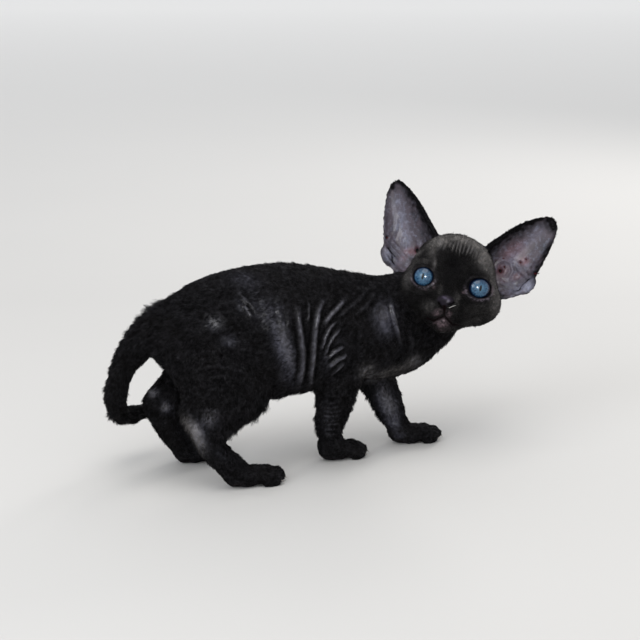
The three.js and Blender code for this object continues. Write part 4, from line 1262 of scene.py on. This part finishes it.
grow("coat_chest", ("trunk",), 49000, down.material, where=ahead)
grow("coat_flank", ("trunk",), 49000, down.material, where=1 - ahead)
shaggy_parts = ("trunk", "tail", "hind_right", "hind_left", "fore_right", "fore_left")
grow("coat_long", shaggy_parts, 14000, down.material, True, long_coat, 9, 0.7)
grow("coat_tail", ("tail",), 24000, down.material)
grow("coat_fore", ("fore_right", "fore_left", "paws"), 46000, down.material)
grow("coat_hind", ("hind_right", "hind_left"), 46000, down.material)

# Whiskers: in this breed short, few and bent, standing from the pads of the lip and over the eyes. One pale
# whisker beside the nose stands out in the photo; the others are dark.
WHISKERS = [
    ((24.0, 6.4, -14.2), (0.1, 0.9, -0.2), 2.6), ((23.2, 7.0, -16.0), (0.0, 0.85, -0.5), 2.4),
    ((24.6, 5.6, -12.6), (0.2, 0.9, 0.2), 2.4), ((13.4, 11.5, 9.2), (0.35, 0.3, 0.85), 2.8),
]
PALE_ROOT, PALE_WAY, PALE_REACH = (449.7, 307.7), (6.7, 2.7, 2.2), 3.8
off_root = lengths_of(PX - PALE_ROOT) + 99 * (facing < 0.3) + 99 * (on_head < 0.5)
pale_way = PALE_WAY[0] * RIGHT + PALE_WAY[1] * ABOVE + PALE_WAY[2] * BACK
pale_whisker = (to_head(V[off_root.argmin()]), pale_way @ HEAD_TURN, PALE_REACH)
WHISKER_BEND = (-0.45, 0.1, -0.3)
DARK_THICK, PALE_THICK = 0.07, 0.13
GROUPS = [(-1, 0, DARK_THICK, WHISKERS), (1, 0, DARK_THICK, WHISKERS), (1, 1, PALE_THICK, [pale_whisker])]
hair_points, hair_faces, hair_light = [], [], []
for side, light, thick, own_whiskers in GROUPS:
    for start, way, reach in own_whiskers:
        start, way = np.array(start), at_length_one(np.array(way))
        bend = (np.array(WHISKER_BEND) + seed.normal(0, 0.2, 3)) * (1 - 0.8 * light)
        across = at_length_one(np.cross(way, (0, 0, 1.0)))
        over = np.cross(across, way)
        first, rings = len(hair_points), 9
        for i in range(rings):
            t = i / (rings - 1)
            centre = start + way * (reach * t - 0.4) + bend * reach * 0.16 * t * t
            radius = thick * (1 - 0.8 * t * t)
            for j in range(4):
                angle = math.pi * j / 2
                spot_at = centre + radius * (math.cos(angle) * across + math.sin(angle) * over)
                hair_points.append(from_head(spot_at * (1, side, 1)))
                hair_light.append(light)
        hair_faces += tube_faces(first, rings, 4)
        hair_faces.append(tuple(first + 4 * (rings - 1) + j for j in range(4)))
whisker_mesh = mesh_of("whiskers", hair_points, hair_faces, smooth=False)
carry(whisker_mesh, "light", np.array(hair_light))
WHISKER_DARK = rgb(0.02, 0.018, 0.018)
WHISKER_GREY, WHISKER_WHITE = rgb(0.60, 0.58, 0.56), rgb(0.85, 0.83, 0.80)
hair = Wiring("stiff_hair")
banding = hair.noise(hair.add("ShaderNodeTexCoord").outputs["Object"], 900.0, 2.0)
pale_hair = hair.mix(banding, WHISKER_GREY, WHISKER_WHITE)
hair.give("Base Color", hair.mix(hair.field("light"), WHISKER_DARK, pale_hair))
hair.give("Roughness", 0.35)
set_in_place("whiskers", whisker_mesh, hair.material)

# The floor, the lamps and the camera: a pale floor, graded lighter far off as painted light where the lamps
# fall off, soft light from above and both sides, and a small lamp by the camera that puts the glint in the
# eyes.
floor_mesh = bpy.data.meshes.new("floor")
floor_mesh.from_pydata([(-8, -4, 0), (8, -4, 0), (8, 14, 0), (-8, 14, 0)], [], [(0, 1, 2, 3)])
floor = bpy.data.objects.new("floor", floor_mesh)
bpy.context.scene.collection.objects.link(floor)
FLOOR_NEAR, FLOOR_FAR, FLOOR_CLOUD = rgb(0.50, 0.49, 0.475), rgb(0.90, 0.885, 0.86), rgb(0.8, 0.78, 0.76)
ground = Wiring("pale_floor")
on_floor = ground.add("ShaderNodeTexCoord").outputs["Object"]
away = ground.vector("DOT_PRODUCT", on_floor, (0.34, 0.94, 0.0))
cloudy = ground.noise(on_floor, 3.0, 2.0)
# Painted light: the floor is darker near the kitten, where the lamps are strong, and lighter far off, where
# little of their light reaches; the clouds are its own tone.
ground.give("Base Color", ground.laid_over(FLOOR_NEAR, [
    (ground.ramp(away, 0.3, 2.6), FLOOR_FAR),
    (ground.times(cloudy, 0.12), FLOOR_CLOUD),
]))
ground.give("Roughness", 0.7)
floor_mesh.materials.append(ground.material)


def lamp(name, at, aim, size, power, colour=(1, 1, 1), lights=True):
    data = bpy.data.lights.new(name, "AREA")
    data.shape = "DISK"
    data.size = size
    data.energy = power
    data.color = colour
    made = bpy.data.objects.new(name, data)
    made.location = at
    made.visible_diffuse = lights
    way = Matrix.Identity(3)
    forward = at_length_one(np.array(aim) - np.array(at))
    side = at_length_one(np.cross(forward, (0, 0, 1)))
    over = np.cross(side, forward)
    for i in range(3):
        way[i] = (side[i], over[i], -forward[i])
    made.rotation_euler = way.to_euler()
    bpy.context.scene.collection.objects.link(made)


lamp("overhead", (-0.15, -0.25, 1.15), (0, 0, 0.05), 0.9, 6.5, (1.0, 0.985, 0.96))
lamp("window", (-1.0, -0.4, 0.75), (-0.02, 0, 0.06), 0.6, 5.0, (0.92, 0.96, 1.0))
lamp("back_right", (0.7, 0.55, 0.55), (0, 0, 0.06), 0.3, 2.0, (1.0, 0.97, 0.93))
lamp("glint", (-0.226, -0.640, 0.365), (0.05, -0.03, 0.1), 0.19, 5.0, lights=False)
world = bpy.data.worlds.new("room")
world.use_nodes = True
world.node_tree.nodes["Background"].inputs["Color"].default_value = (0.95, 0.97, 1.0, 1)
world.node_tree.nodes["Background"].inputs["Strength"].default_value = 0.9
bpy.context.scene.world = world
bpy.context.scene.view_settings.view_transform = "Standard"

lens = bpy.data.cameras.new("camera")
lens.sensor_width = 36.0
lens.lens = FOCAL / 640 * 36.0
lens.clip_start, lens.clip_end = 0.05, 60
camera = bpy.data.objects.new("camera", lens)
stand = Matrix((RIGHT, ABOVE, BACK)).transposed().to_4x4()
stand.translation = CAMERA_AT * MM
camera.matrix_world = stand
bpy.context.scene.collection.objects.link(camera)
bpy.context.scene.camera = camera
